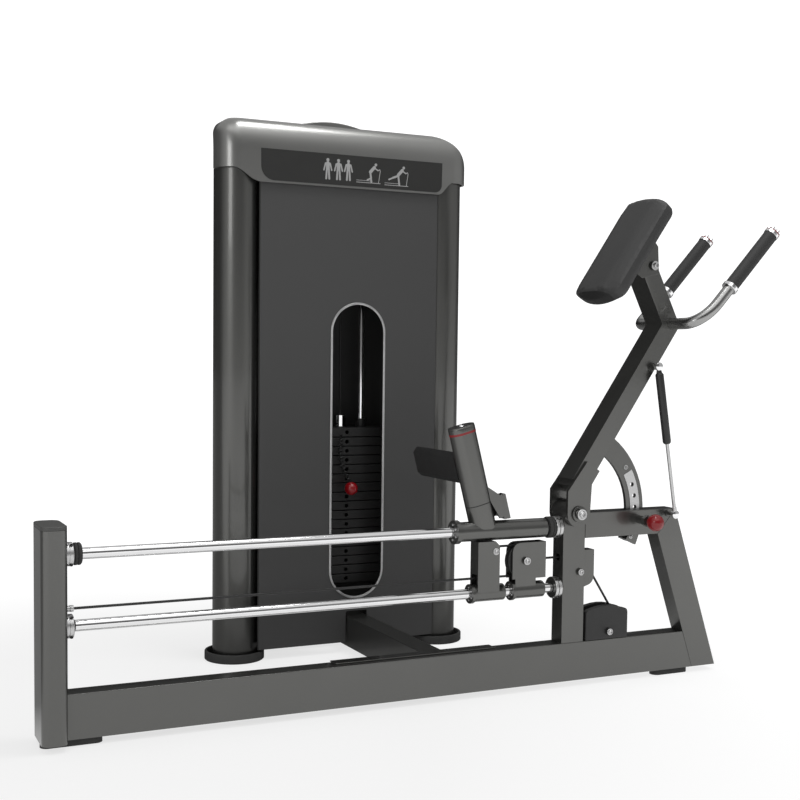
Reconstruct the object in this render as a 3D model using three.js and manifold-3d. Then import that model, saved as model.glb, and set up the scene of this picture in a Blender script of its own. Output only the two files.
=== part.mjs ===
// Glute kick machine with a selectorised weight stack, built as separate pieces.
// Millimetres, +Z up, +X along the base rail towards the chest pad, +Y towards the weight tower.
// The origin is on the floor, under the middle of the rubber foot at the end post.
import * as THREE from 'three';
import Module from 'manifold-3d';
import { mergeVertices } from 'three/addons/utils/BufferGeometryUtils.js';

const wasm = await Module();
wasm.setup();

// Clearances shared by all pieces
const seat = 0.3;
const slideGap = 0.45;
const overrun = 5;
const sideGap = 2;
const bushGap = 1.2;
const saddleGap = 0.6;
const longOverrun = 20;

// Square and oval frame tubes
const tubeWall = 3;
const railWidth = 50;
const railHeight = 100;
const footHeight = 15.3;
const railTop = footHeight + railHeight;

// End post
const postWidth = 60;
const postDepth = 120;
const postTop = 471;
const postCapHeight = 9;

// Rubber feet under the rail
const footDepth = 34;
const endFootStart = 6;
const endFootLength = 134;
const legFootStart = 1613;
const legFootLength = 114;

// Sloping rear leg and top beam
const beamTop = 451;
const beamHeight = 66;
const legLean = 0.3365;
const legFootEdge = 1809;
const legWidth = 78;

// Upright that carries the arm pivot
const uprightLeft = 1311;
const uprightWidth = 65.7;
const uprightDepth = 48;
const uprightCentre = uprightLeft + uprightWidth / 2;

// Arm pivot
const pivotX = uprightCentre;
const pivotZ = beamTop;
const bushRadius = 33;
const bushLength = 69;
const pivotShaftRadius = 10;
const pivotWasherRadius = 21;
const pivotWasherThickness = 5;
const pivotHeadRadius = 13;
const pivotHeadHeight = 9;

// Guide rods of the sliding foot carriage
const rodRadius = 12.5;
const upperRodZ = 415;
const lowerRodZ = 258.5;
const clampLength = 17;
const clampRadius = 25.5;
const flangeLength = 20;
const flangeRadius = 27;
const bumperLength = 18;
const leftBumperRadius = 25;
const rightBumperRadius = 28;

// Cable and pulleys
const cableRadius = 3;
const cableWayRadius = 9;
const headerHoleRadius = 12;
const anchorRadius = 6;
const facetAllowance = 1.8;
const grooveShare = 0.8;
const pulleyFlange = 5;
const travelFlange = 9;
const pulleyWidth = 20;
const pulleyHub = 11;
const axleRadius = 6;
const boltHeadRadius = 9.5;
const boltHeadHeight = 6;

// Upright pulley and its guard
const uprightPulleyX = 1363;
const stackCableZ = 336;
const uprightPitch = 38;
const uprightPulleyZ = stackCableZ - uprightPitch;
const guardReach = 35;
const guardWidth = 32;
const guardTop = 353;
const guardBottom = 255;
const guardCorner = 14;
const guardNose = 33.6;
const guardMouth = 50.4;
const guardSheet = 2.4;

// Base pulley in the rail and its two-sided cover
const basePulleyX = 1455;
const basePulleyZ = 135.6;
const basePitch = 50;
const coverFrontReach = 71;
const coverBackReach = 59;
const coverLeft = basePulleyX - coverFrontReach;
const coverRight = basePulleyX + coverBackReach;
const coverShoulder = 195;
const coverCrown = 205;
const coverCorner = 14;
const coverWidth = 52;
const coverSlot = 22;
const coverBridge = 3;

// Corner pulley, where the cable leaves the rail for the tower
const crossCableX = 975;
const cornerPitch = 40;
const cornerX = crossCableX + cornerPitch;
const cornerY = cornerPitch;
const cornerPlate = 3;
const cornerPlateReach = 84;
const cornerPlateLeft = 990;
const cornerPlateRight = 1066;
const cableDeckZ = basePulleyZ - basePitch;

// Cross-beam between rail and tower
const crossBeamLeft = 952.7;
const crossBeamWidth = 60;
const crossBeamBottom = 18.8;
const crossBeamTop = 106;
const crossBeamEnd = 620;

// Thin cover strip on the rail over the corner pulley
const railCoverLeft = 690;
const railCoverRight = 1126;
const railCoverDepth = 34;
const railCoverLip = 3;
const railCoverThickness = 3;

// Tower columns and their foot rings
const columnRadius = 61.5;
const columnY = 603;
const leftColumnX = 638.5;
const rightColumnX = 1264;
const columnWall = 3;
const ringGap = 13.5;
const ringWall = 8;
const ringHeight = 25;
const ringSole = 4;
const columnSides = 32;

// Tower shroud
const shroudLeft = 570;
const shroudRight = 1333;
const shroudFront = 530;
const shroudBack = 790;
const shroudTop = 1487;
const hemDrop = 136;
const apronDrop = 172;
const shroudHem = shroudTop - hemDrop;
const shroudApron = shroudTop - apronDrop;
const apronLeft = 685;
const apronRight = 1225;
const apronRun = 46;
const shroudLeftCorner = 54;
const shroudRightCorner = 130;
const shroudPlanCorner = 76;
const shroudTaper = 45;
const shroudRound = 42;
const shroudWall = 6;
const ledgeHalf = 13;
const humpLeft = 800;
const humpRight = 1030;
const humpHeight = 23;
const humpFront = 592;
const humpBack = 700;
const humpShoulder = 50;
const columnDrop = 127;
const columnTop = shroudTop - columnDrop;

// Front panel, its window and the rear panel
const panelPlane = 540;
const panelLeft = 687.6;
const panelRight = 1227.6;
const panelBottom = 29.7;
const panelTuck = 2;
const panelTop = shroudApron + panelTuck;
const panelSheet = 2.5;
const panelReturn = 12;
const windowX = 980.2;
const windowWidth = 155.8;
const windowBottom = 161.2;
const windowTop = 992;
const notchClearance = 3;
const notchTop = 119.3;
const trimBand = 6;
const trimProud = 2.2;
const rearPanelPlane = 774;
const rearPanelSheet = 2;

// Weight stack
const stackX = 982;
const stackDepthY = 672;
const stackSetBack = 55;
const stackFront = stackDepthY - stackSetBack;
const plateWidth = 312;
const plateDepth = 95;
const plateThickness = 24.8;
const platePitch = 26.65;
const stackBottom = 187;
const liftedPlateCount = 6;
const restingPlateCount = 10;
const guideSpacing = 66.4;
const guideRadius = 9.5;
const plateGuideBore = 12;
const spacerRadius = 17;
const stemRadius = 12;
const stemBore = 14;
const pinHoleRadius = 6.4;
const headPlateThickness = 26.4;
const headBushRadius = 15;
const headBushHeight = 24;
const stemCollarRadius = 17;
const stemCollarHeight = 34;

// Tower base member and header member
const baseMemberFront = crossBeamEnd;
const baseMemberDepth = 75;
const baseMemberTop = 167;
const headerFront = 590;
const headerDepth = 149;
const headerDrop = 141;
const headerBottom = shroudTop - headerDrop;
const headerHeight = 24;
const cushionWidth = 190;
const cushionDepth = 52;
const hangerWidth = 12;

// Tower pulleys
const towerBasePitch = 30;
const cableRiseY = 762;
const topPitch = (cableRiseY - stackDepthY) / 2;
const topPulleyDrop = 65;
const topPulleyZ = shroudTop - topPulleyDrop;
const cheekThickness = 4;

// Selector pin and its lanyard
const pinRadius = 5;
const pinReach = 66;
const pinCollarRadius = 11;
const pinCollarLength = 16;
const pinKnobRadius = 19;
const pinKnobReach = 15.2;
const lanyardWire = 1.6;
const lanyardCoilRadius = 5.2;
const lanyardTurns = 12;
const lanyardStepsPerTurn = 8;
const lanyardSides = 5;
const lanyardBulge = 14;
const lanyardSway = 12;
const lanyardOffset = 24;

// Foot carriage
const sleeveRadius = 25;
const sleeveStart = 1004;
const sleeveLength = 261;
const sleeveFlangeRadius = 30;
const sleeveFlangeLength = 12;
const bracketLeft = 1065;
const bracketWidth = 62;
const bracketDepth = 40;
const bracketCorner = 12;
const bracketSheet = 6;
const shortSleeveRadius = 21;
const footShortStart = 1051;
const shortSleeveLength = 95;
const shortFlangeRadius = 24.5;
const shortFlangeLength = 8;
const pedalCableZ = 373.6;

// Foot post, leaning back from the carriage
const footPostLean = THREE.MathUtils.degToRad(14.8);
const footPostX = 1091;
const stubWidth = 60;
const stubDepth = 40;
const stubStart = 14;
const stubTop = 246;
const footTubeWidth = 69;
const footTubeDepth = 48;
const footTubeWall = 3.6;
const footTubeStart = 72;
const footTubeTop = 256;
const footCapHeight = 16;
const footPlateStart = 128;
const footPlateHeight = 79;
const footPlateBack = -27;
const footPlateSheet = 5.5;
const footPlateLip = 11;
const footPlateLength = 226;
const footPlateRound = 14;
const footPlateLug = 16;
const footPlateLugTop = 24;
const footPlateBlank = 48;

// Height lock of the foot post: two ears and a cam lever
const earRoot = 25.2;
const earTop = 110;
const earFoot = 22;
const earNose = 58;
const earThickness = 6;
const leverPinRadius = 4;
const leverPinX = 52;
const leverPinZ = 50;
const leverWidth = 25;
const leverLeft = 38;
const leverRight = 76;
const leverTop = 76;
const leverBottom = 28;
const leverHook = 14;
const leverHookTip = 16.8;
const leverMouthZ = 62;

// Pulley carriage
const pulleyBracketLeft = 1166;
const pulleyBracketRight = 1264;
const pulleyBracketTop = 382;
const pulleyBracketBottom = 289.7;
const pulleyBracketCorner = 26;
const pulleyBracketWidth = 34;
const pulleyBracketSheet = 4;
const pulleyBracketNeck = 60;
const travelPulleyX = 1205;
const pedalReturnZ = 296.6;
const travelPitch = (pedalCableZ - pedalReturnZ) / 2;
const travelPulleyZ = pedalCableZ - travelPitch;
const pulleyShortStart = 1167;

// Chest arm
const armAngle = THREE.MathUtils.degToRad(56);
const armOffset = 38.5;
const armThick = 49;
const armWide = 70;
const armStart = 66;
const armKink = 561;
const upperArmTurn = THREE.MathUtils.degToRad(60.7);
const upperArmLength = 172;
const cheekOuter = 43;
const cheekSheet = 8;
const cheekRound = 34;
const cheekEnd = 124;
const cheekLow = 10.2;
const cheekHigh = 55.4;
const cheekShoulder = 61;
const cheekShoulderStart = 30;
const cheekWaist = 83;
const webStart = 50;
const webEnd = 62;
const webLow = 12;

// Pad bracket and chest pad
const padAlong = 643;
const padFaceOffset = 281;
const padFaceLength = 264;
const padFaceWidth = 120;
const padLength = 300;
const padWidth = 196;
const padChamferDepth = 18;
const padThickness = 50;
const padCrown = 5;
const padCorner = 52;
const padSides = 40;
const padFaceCorner = 26;
const padInnerShare = 0.4;
const padInnerRise = 0.85;
const padOuterShare = 0.75;
const padOuterRise = 0.5;
const bracketPlate = 5;
const bracketToe = 604;
const bracketHeel = 644;
const bracketRise = 700;
const bracketToeDepth = 44;
const bracketHeelDepth = 80;
const bracketRiseDepth = 37;
const mountPlateLength = 150;
const mountPlateWidth = 120;
const padBoltAlong = 651;
const padBoltOffset = 177;

// Handles
const handleRadius = 15;
const handleSpread = 132;
const handleBend = 46;
const handleBendPull = 36.8;
const collarGap = 0.9;
const handleTilt = THREE.MathUtils.degToRad(8.7);
const crossBarAlong = 566;
const crossBarOffset = 36.8;
const handleBendAlong = 648;
const handleBendOffset = 10;
const handleReach = 257;
const collarAt = 52;
const collarLength = 9;
const gripRadius = 18.5;
const gripCapLength = 9;
const gripCapRadius = 19.5;

// Range of motion arc
const arcInner = 178;
const arcOuter = 232;
const arcNear = 2;
const arcThickness = 10;
const arcTopAngle = THREE.MathUtils.degToRad(55);
const arcTopTuck = THREE.MathUtils.degToRad(10);
const arcBottomAngle = THREE.MathUtils.degToRad(-29);
const arcHoleRadius = 6;
const arcHoleCircle = 205;
const arcHoleFirst = THREE.MathUtils.degToRad(18.6);
const arcHoleStep = THREE.MathUtils.degToRad(8.6);
const arcHoleCount = 4;
const arcStopAngle = THREE.MathUtils.degToRad(-23.7);
const arcStopCircle = 199;
const arcStopRadius = 11.5;
const arcStopWidth = 36;

// Gas strut
const strutPlane = -55;
const strutTopX = 1573;
const strutTopZ = 828.7;
const strutBottomX = 1638;
const strutBottomZ = 438.5;
const strutCylinderRadius = 10.8;
const strutCylinderLength = 205;
const strutRodRadius = 4.5;
const strutEyeRadius = 11;
const strutChamberStart = 27.5;
const strutFootLength = 19.8;
const strutFootRadius = 5.4;
const strutOverlap = 18;
const strutEyeWidth = 12;
const studRadius = 5;
const studWasherRadius = 9;

// Spring-loaded pop pin
const popPinAngle = arcHoleFirst - 3 * arcHoleStep;
const popPinX = pivotX + arcHoleCircle * Math.cos(popPinAngle);
const popPinZ = pivotZ + arcHoleCircle * Math.sin(popPinAngle);
const popPinNose = 0.5;
const popBarrelRadius = 11;
const popBarrelLength = 30;
const popNutRadius = 16;
const popNutHeight = 8;
const popRodRadius = 5;
const popNeckRadius = 7;
const popKnobRadius = 22;
const popKnobY = -92;

// Strut's upper end, seen from the arm's own axes
const strutTopAlong = (strutTopX - pivotX) * Math.cos(armAngle) + (strutTopZ - pivotZ) * Math.sin(armAngle);
const strutTopOffset = (strutTopZ - pivotZ) * Math.cos(armAngle) - (strutTopX - pivotX) * Math.sin(armAngle);

// Paints, metals and soft trims
const graphite = new THREE.MeshStandardMaterial({ color: 0x5c5c59, roughness: 0.42, metalness: 0.75 });
const panelGrey = new THREE.MeshStandardMaterial({ color: 0x454545, roughness: 0.7, metalness: 0.2 });
const silverGrey = new THREE.MeshStandardMaterial({ color: 0x85857f, roughness: 0.28, metalness: 0.7 });
const chrome = new THREE.MeshStandardMaterial({ color: 0xd8d8d8, roughness: 0.08, metalness: 1 });
const blackPlastic = new THREE.MeshStandardMaterial({ color: 0x1e1e1e, roughness: 0.5, metalness: 0 });
const rubber = new THREE.MeshStandardMaterial({ color: 0x222222, roughness: 0.85, metalness: 0 });
const plateBlack = new THREE.MeshStandardMaterial({ color: 0x1a1a1a, roughness: 0.55, metalness: 0.4 });
const upholstery = new THREE.MeshStandardMaterial({ color: 0x3d3d3d, roughness: 0.7, metalness: 0 });
const foam = new THREE.MeshStandardMaterial({ color: 0x2c2c2c, roughness: 0.95, metalness: 0 });
const knobRed = new THREE.MeshStandardMaterial({ color: 0xb81d1d, roughness: 0.25, metalness: 0 });
const wireBlack = new THREE.MeshStandardMaterial({ color: 0x141414, roughness: 0.4, metalness: 0.1 });

const roundSides = 18;
const smallSides = 12;
const fewSides = 8;
const axisX = new THREE.Vector3(1, 0, 0);
const axisY = new THREE.Vector3(0, 1, 0);
const axisZ = new THREE.Vector3(0, 0, 1);

// Solids
function toSolid(geometry) {
  const bare = geometry.clone();
  bare.deleteAttribute('normal');
  bare.deleteAttribute('uv');
  const merged = mergeVertices(bare, 1e-4);
  return new wasm.Manifold(new wasm.Mesh({
    numProp: 3,
    vertProperties: merged.attributes.position.array,
    triVerts: new Uint32Array(merged.index.array),
  }));
}

function toGeometry(solid) {
  const mesh = solid.getMesh();
  const geometry = new THREE.BufferGeometry();
  geometry.setAttribute('position', new THREE.BufferAttribute(mesh.vertProperties, 3));
  geometry.setIndex(new THREE.BufferAttribute(mesh.triVerts, 1));
  geometry.computeVertexNormals();
  return geometry;
}

function join(first, ...others) {
  return toGeometry(others.reduce((sum, piece) => sum.add(toSolid(piece)), toSolid(first)));
}

function cut(body, ...tools) {
  return toGeometry(tools.reduce((rest, tool) => rest.subtract(toSolid(tool)), toSolid(body)));
}

function bar(x0, x1, y0, y1, z0, z1) {
  return new THREE.BoxGeometry(x1 - x0, y1 - y0, z1 - z0)
    .translate((x0 + x1) / 2, (y0 + y1) / 2, (z0 + z1) / 2);
}

// A drawn outline in the X-Z plane, pushed from y0 to y1
function slabXZ(outline, y0, y1, curveSegments = 6) {
  const geometry = new THREE.ExtrudeGeometry(outline, { depth: y1 - y0, bevelEnabled: false, curveSegments });
  return geometry.rotateX(Math.PI / 2).translate(0, y1, 0);
}

// A drawn outline in the X-Y plane, pushed from z0 to z1
function slabXY(outline, z0, z1, curveSegments = 8) {
  const geometry = new THREE.ExtrudeGeometry(outline, { depth: z1 - z0, bevelEnabled: false, curveSegments });
  return geometry.translate(0, 0, z0);
}

function rodBetween(start, end, radius, sides = roundSides) {
  const run = new THREE.Vector3().subVectors(end, start);
  const turn = new THREE.Quaternion().setFromUnitVectors(axisY, run.clone().normalize());
  const middle = new THREE.Vector3().addVectors(start, end).multiplyScalar(0.5);
  return new THREE.CylinderGeometry(radius, radius, run.length(), sides)
    .applyQuaternion(turn)
    .translate(middle.x, middle.y, middle.z);
}

function rodX(x0, x1, y, z, radius, sides = roundSides) {
  return rodBetween(new THREE.Vector3(x0, y, z), new THREE.Vector3(x1, y, z), radius, sides);
}

function rodY(y0, y1, x, z, radius, sides = roundSides) {
  return rodBetween(new THREE.Vector3(x, y0, z), new THREE.Vector3(x, y1, z), radius, sides);
}

function rodZ(z0, z1, x, y, radius, sides = roundSides) {
  return rodBetween(new THREE.Vector3(x, y, z0), new THREE.Vector3(x, y, z1), radius, sides);
}

function outlineOf(points) {
  return new THREE.Shape(points.map(([a, b]) => new THREE.Vector2(a, b)));
}

// A flat oval, longer along its second axis
function flatOval(width, depth) {
  const radius = width / 2;
  const run = depth / 2 - radius;
  const shape = new THREE.Shape();
  shape.moveTo(radius, -run);
  shape.lineTo(radius, run);
  shape.absarc(0, run, radius, 0, Math.PI, false);
  shape.lineTo(-radius, -run);
  shape.absarc(0, -run, radius, Math.PI, 2 * Math.PI, false);
  return shape;
}

function roundedBox(x0, x1, z0, z1, radius) {
  const shape = new THREE.Shape();
  shape.moveTo(x0 + radius, z0);
  shape.lineTo(x1 - radius, z0);
  shape.absarc(x1 - radius, z0 + radius, radius, -Math.PI / 2, 0, false);
  shape.lineTo(x1, z1 - radius);
  shape.absarc(x1 - radius, z1 - radius, radius, 0, Math.PI / 2, false);
  shape.lineTo(x0 + radius, z1);
  shape.absarc(x0 + radius, z1 - radius, radius, Math.PI / 2, Math.PI, false);
  shape.lineTo(x0, z0 + radius);
  shape.absarc(x0 + radius, z0 + radius, radius, Math.PI, 1.5 * Math.PI, false);
  return shape;
}

// A route that keeps its points as they are chosen, for cables that wrap round pulleys
class PointRoute extends THREE.Curve {
  constructor(points) {
    super();
    this.points = points;
  }

  getPoint(t) {
    const last = this.points.length - 1;
    const place = Math.min(t * last, last);
    const index = Math.min(Math.floor(place), last - 1);
    return new THREE.Vector3().lerpVectors(this.points[index], this.points[index + 1], place - index);
  }

  getPointAt(t) {
    return this.getPoint(t);
  }

  getTangentAt(t) {
    const last = this.points.length - 1;
    const index = Math.round(t * last);
    const before = this.points[Math.max(index - 1, 0)];
    const after = this.points[Math.min(index + 1, last)];
    const here = this.points[index];
    const into = new THREE.Vector3().subVectors(here, before).normalize();
    const out = new THREE.Vector3().subVectors(after, here).normalize();
    return into.add(out).normalize();
  }
}

function tubeAlong(points, radius, sides) {
  const section = new THREE.Shape();
  section.absarc(0, 0, radius, 0, 2 * Math.PI, false);
  return new THREE.ExtrudeGeometry(section, {
    extrudePath: new PointRoute(points),
    steps: points.length - 1,
    curveSegments: sides / 2,
    bevelEnabled: false,
  });
}

// Points round a pulley, in the plane of the unit vectors across and up
function wrap(centre, radius, across, up, fromAngle, toAngle, steps) {
  const points = [];
  for (let i = 0; i <= steps; i += 1) {
    const angle = fromAngle + (toAngle - fromAngle) * i / steps;
    points.push(centre.clone()
      .addScaledVector(across, radius * Math.cos(angle))
      .addScaledVector(up, radius * Math.sin(angle)));
  }
  return points;
}

// A grooved cable pulley turning about Y, with its bore
function pulleyGeometry(pitch, flange) {
  const rim = pitch + flange;
  const groove = pitch - cableRadius - facetAllowance;
  const bore = axleRadius + slideGap;
  const half = pulleyWidth / 2;
  const lip = half * grooveShare;
  const profile = [
    [bore, -half], [pulleyHub, -half], [pulleyHub, -lip], [rim, -lip],
    [groove, -cableRadius / 2], [groove, cableRadius / 2],
    [rim, lip], [pulleyHub, lip], [pulleyHub, half], [bore, half], [bore, -half],
  ];
  return new THREE.LatheGeometry(profile.map(([r, y]) => new THREE.Vector2(r, y)), 14);
}

function boltAlongY(x, z, y0, y1) {
  return join(
    rodY(y0, y1, x, z, axleRadius, smallSides),
    rodY(y0 - boltHeadHeight, y0, x, z, boltHeadRadius, smallSides),
    rodY(y1, y1 + boltHeadHeight, x, z, boltHeadRadius, smallSides),
  );
}

const machine = new THREE.Group();
machine.position.x = -(endFootStart + endFootLength / 2);

function addPiece(group, name, geometry, material) {
  const mesh = new THREE.Mesh(geometry, material);
  mesh.name = name;
  group.add(mesh);
  return mesh;
}

const frame = new THREE.Group();
machine.add(frame);

// End post: flat-oval tube with the two rod clamps and the cable anchor welded to it
function buildEndPost() {
  const centreX = postWidth / 2;
  const outer = slabXY(flatOval(postWidth, postDepth), footHeight, postTop, 10).translate(centreX, 0, 0);
  const core = slabXY(
    flatOval(postWidth - 2 * tubeWall, postDepth - 2 * tubeWall), footHeight + tubeWall, postTop + overrun, 6,
  ).translate(centreX, 0, 0);
  const body = cut(outer, core);
  const clampRoot = postWidth - tubeWall / 2;
  const clampEnd = postWidth + clampLength;
  const parts = [];
  for (const z of [upperRodZ, lowerRodZ]) {
    parts.push(rodX(clampRoot, clampEnd, 0, z, clampRadius));
  }
  const anchorZ = travelPulleyZ - travelPitch;
  parts.push(rodX(clampRoot, clampEnd + cableRadius, 0, anchorZ, anchorRadius, smallSides));
  const bores = [upperRodZ, lowerRodZ].map(
    (z) => rodX(postWidth, clampEnd + overrun, 0, z, rodRadius + slideGap));
  addPiece(frame, 'end_post', cut(join(body, ...parts), ...bores), graphite);
  const cap = slabXY(flatOval(postWidth, postDepth), postTop + seat, postTop + postCapHeight, 10);
  addPiece(frame, 'end_post_cap', cap.translate(centreX, 0, 0), blackPlastic);
}

// Base rail: rectangular tube, slotted for the base pulley and the corner pulley
function legEdgeAt(z) {
  return legFootEdge - (z - footHeight) * legLean;
}

function buildRail() {
  const start = postWidth + seat;
  const half = railWidth / 2;
  const outer = slabXZ(outlineOf([
    [start, footHeight], [legEdgeAt(footHeight) - legWidth - seat, footHeight],
    [legEdgeAt(railTop) - legWidth - seat, railTop], [start, railTop],
  ]), -half, half);
  const inner = bar(
    start - overrun, legFootEdge,
    -half + tubeWall, half - tubeWall,
    footHeight + tubeWall, railTop - tubeWall,
  );
  const baseRim = basePitch + pulleyFlange + sideGap;
  const slotHalf = pulleyWidth / 2 + sideGap;
  const topSlot = bar(
    basePulleyX - baseRim, basePulleyX + baseRim, -slotHalf, slotHalf,
    railTop - tubeWall - overrun, railTop + overrun,
  );
  const cornerRim = cornerPitch + pulleyFlange + sideGap;
  const deckLow = cableDeckZ - slotHalf;
  const deckHigh = cableDeckZ + slotHalf;
  const backSlot = bar(cornerX - cornerRim, cornerX + cornerRim, 0, half + overrun, deckLow, deckHigh);
  const cornerPlates = [deckLow - cornerPlate, deckHigh].map(
    (z) => bar(cornerPlateLeft, cornerPlateRight, half - tubeWall, cornerPlateReach, z, z + cornerPlate));
  const cornerAxle = rodZ(deckLow - cornerPlate, deckHigh + cornerPlate, cornerX, cornerY, axleRadius, smallSides);
  const rail = cut(outer, inner, topSlot, backSlot);
  addPiece(frame, 'base_rail', join(rail, ...cornerPlates, cornerAxle), graphite);
  addPiece(frame, 'rail_cover', bar(
    railCoverLeft, railCoverRight, half + railCoverLip - railCoverDepth, half + railCoverLip,
    railTop + seat, railTop + seat + railCoverThickness,
  ), graphite);
}

function buildFeet() {
  const feet = [
    ['end_foot', endFootStart, endFootLength],
    ['leg_foot', legFootStart, legFootLength],
  ];
  for (const [name, start, length] of feet) {
    const pad = slabXY(flatOval(footDepth, length), 0, footHeight - seat, 8)
      .rotateZ(Math.PI / 2)
      .translate(start + length / 2, 0, 0);
    addPiece(frame, name, pad, rubber);
  }
}

// Cross-beam: square tube that ties the tower to the rail and hides the cable
function buildCrossBeam() {
  const right = crossBeamLeft + crossBeamWidth;
  const start = railWidth / 2 + seat;
  const outer = bar(crossBeamLeft, right, start, crossBeamEnd, crossBeamBottom, crossBeamTop);
  const inner = bar(
    crossBeamLeft + tubeWall, right - tubeWall,
    start - overrun, crossBeamEnd + overrun,
    crossBeamBottom + tubeWall, crossBeamTop - tubeWall,
  );
  const cornerRim = cornerPitch + pulleyFlange + sideGap;
  const slotHalf = pulleyWidth / 2 + sideGap + cornerPlate;
  const wallSlot = bar(
    right - tubeWall - overrun, right + overrun,
    start - overrun, cornerY + cornerRim,
    cableDeckZ - slotHalf, cableDeckZ + slotHalf,
  );
  addPiece(frame, 'cross_beam', cut(outer, inner, wallSlot), graphite);
}

// Upright: tube with the half-round saddle, the two rod flanges and the pulley axle
function buildUpright() {
  const half = uprightDepth / 2;
  const right = uprightLeft + uprightWidth;
  const outer = bar(uprightLeft, right, -half, half, railTop + seat, pivotZ);
  const inner = bar(
    uprightLeft + tubeWall, right - tubeWall, -half + tubeWall, half - tubeWall,
    railTop - overrun, pivotZ + overrun,
  );
  const saddle = rodY(-half - overrun, half + overrun, pivotX, pivotZ, bushRadius + saddleGap);
  const pulleyRim = uprightPitch + pulleyFlange + sideGap;
  const slotHalf = pulleyWidth / 2 + sideGap;
  const pulleySlot = bar(
    right - tubeWall - overrun, right + overrun, -slotHalf, slotHalf,
    uprightPulleyZ - pulleyRim, uprightPulleyZ + pulleyRim,
  );
  const cableHole = rodX(uprightLeft - overrun, uprightLeft + tubeWall + overrun, 0, stackCableZ, cableWayRadius);
  const flanges = [upperRodZ, lowerRodZ].map(
    (z) => rodX(uprightLeft - flangeLength, uprightLeft + tubeWall / 2, 0, z, flangeRadius));
  const bores = [upperRodZ, lowerRodZ].map(
    (z) => rodX(uprightLeft - flangeLength - overrun, uprightLeft, 0, z, rodRadius + slideGap));
  const tube = cut(outer, inner, pulleySlot, cableHole);
  const axle = boltAlongY(uprightPulleyX, uprightPulleyZ, -half, half);
  addPiece(frame, 'upright', cut(join(tube, ...flanges, axle), saddle, ...bores), graphite);
}

// Pivot bush in the saddle, with the shaft and washers that hold the arm
function buildPivot() {
  const half = bushLength / 2;
  const washerStart = cheekOuter + seat;
  const washerEnd = washerStart + pivotWasherThickness;
  const bush = rodY(-half, half, pivotX, pivotZ, bushRadius);
  const shaft = rodY(-washerEnd, washerEnd, pivotX, pivotZ, pivotShaftRadius);
  const washers = [-1, 1].map((side) => rodY(
    Math.min(side * washerStart, side * washerEnd), Math.max(side * washerStart, side * washerEnd),
    pivotX, pivotZ, pivotWasherRadius,
  ));
  const headEnd = washerEnd + pivotHeadHeight;
  const heads = [-1, 1].map((side) => rodY(
    Math.min(side * washerEnd, side * headEnd), Math.max(side * washerEnd, side * headEnd),
    pivotX, pivotZ, pivotHeadRadius, 6,
  ));
  addPiece(frame, 'pivot_bush', join(bush, shaft, ...washers, ...heads), chrome);
}

// Top beam and sloping leg, mitred together
function buildBeamAndLeg() {
  const half = railWidth / 2;
  const beamBottom = beamTop - beamHeight;
  const start = uprightLeft + uprightWidth + seat;
  const outer = slabXZ(outlineOf([
    [start, beamBottom], [legEdgeAt(beamBottom) - legWidth, beamBottom],
    [legEdgeAt(beamTop), beamTop], [start, beamTop],
  ]), -half, half);
  const inner = bar(
    start - overrun, legFootEdge, -half + tubeWall, half - tubeWall,
    beamBottom + tubeWall, beamTop - tubeWall,
  );
  const reachAt = (radius, height) => Math.sqrt(radius * radius - height * height);
  const arcSlot = bar(
    pivotX + reachAt(arcInner, beamHeight) - sideGap * 2, pivotX + arcOuter + sideGap,
    arcNear - sideGap, arcNear + arcThickness + sideGap,
    beamBottom - overrun, beamTop + overrun,
  );
  const washer = rodY(
    -half - popNutHeight / 2, -half + tubeWall / 2, strutBottomX, strutBottomZ, studWasherRadius, smallSides);
  const stud = rodY(strutPlane + strutEyeWidth / 2 + seat, -half, strutBottomX, strutBottomZ, studRadius, smallSides);
  const barrel = rodY(-half - popBarrelLength, -half + tubeWall / 2, popPinX, popPinZ, popBarrelRadius);
  const nut = rodY(
    -half - popBarrelLength - popNutHeight, -half - popBarrelLength + overrun, popPinX, popPinZ, popNutRadius, 6);
  const barrelBore = rodY(
    -half - popBarrelLength - popNutHeight - overrun, -half + tubeWall + overrun,
    popPinX, popPinZ, popRodRadius + slideGap);
  const beam = join(cut(outer, inner, arcSlot), washer, stud, barrel, nut);
  addPiece(frame, 'top_beam', cut(beam, barrelBore), graphite);
  const leg = slabXZ(outlineOf([
    [legEdgeAt(footHeight) - legWidth, footHeight], [legEdgeAt(footHeight), footHeight],
    [legEdgeAt(beamTop) + seat, beamTop], [legEdgeAt(beamBottom) - legWidth + seat, beamBottom],
  ]), -half, half);
  const legWallX = tubeWall * Math.hypot(1, legLean);
  const legInner = slabXZ(outlineOf([
    [legEdgeAt(footHeight - overrun) - legWidth + legWallX, footHeight - overrun],
    [legEdgeAt(footHeight - overrun) - legWallX, footHeight - overrun],
    [legEdgeAt(beamTop + overrun) - legWallX, beamTop + overrun],
    [legEdgeAt(beamTop + overrun) - legWidth + legWallX, beamTop + overrun],
  ]), -half + tubeWall, half - tubeWall);
  addPiece(frame, 'rear_leg', cut(leg, legInner), graphite);
}

function buildGuideRods() {
  const start = postWidth + seat;
  const end = uprightLeft - seat;
  addPiece(frame, 'upper_guide_rod', rodX(start, end, 0, upperRodZ, rodRadius), chrome);
  addPiece(frame, 'lower_guide_rod', rodX(start, end, 0, lowerRodZ, rodRadius), chrome);
  const leftStart = postWidth + clampLength + seat;
  const rightEnd = uprightLeft - flangeLength - seat;
  const bumpers = [
    ['left_bumper', leftStart, leftBumperRadius],
    ['right_bumper', rightEnd - bumperLength, rightBumperRadius],
  ];
  for (const [name, x, radius] of bumpers) {
    const ring = rodX(x, x + bumperLength, 0, upperRodZ, radius);
    const bore = rodX(x - overrun, x + bumperLength + overrun, 0, upperRodZ, rodRadius + slideGap);
    addPiece(frame, name, cut(ring, bore), rubber);
  }
}

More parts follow.
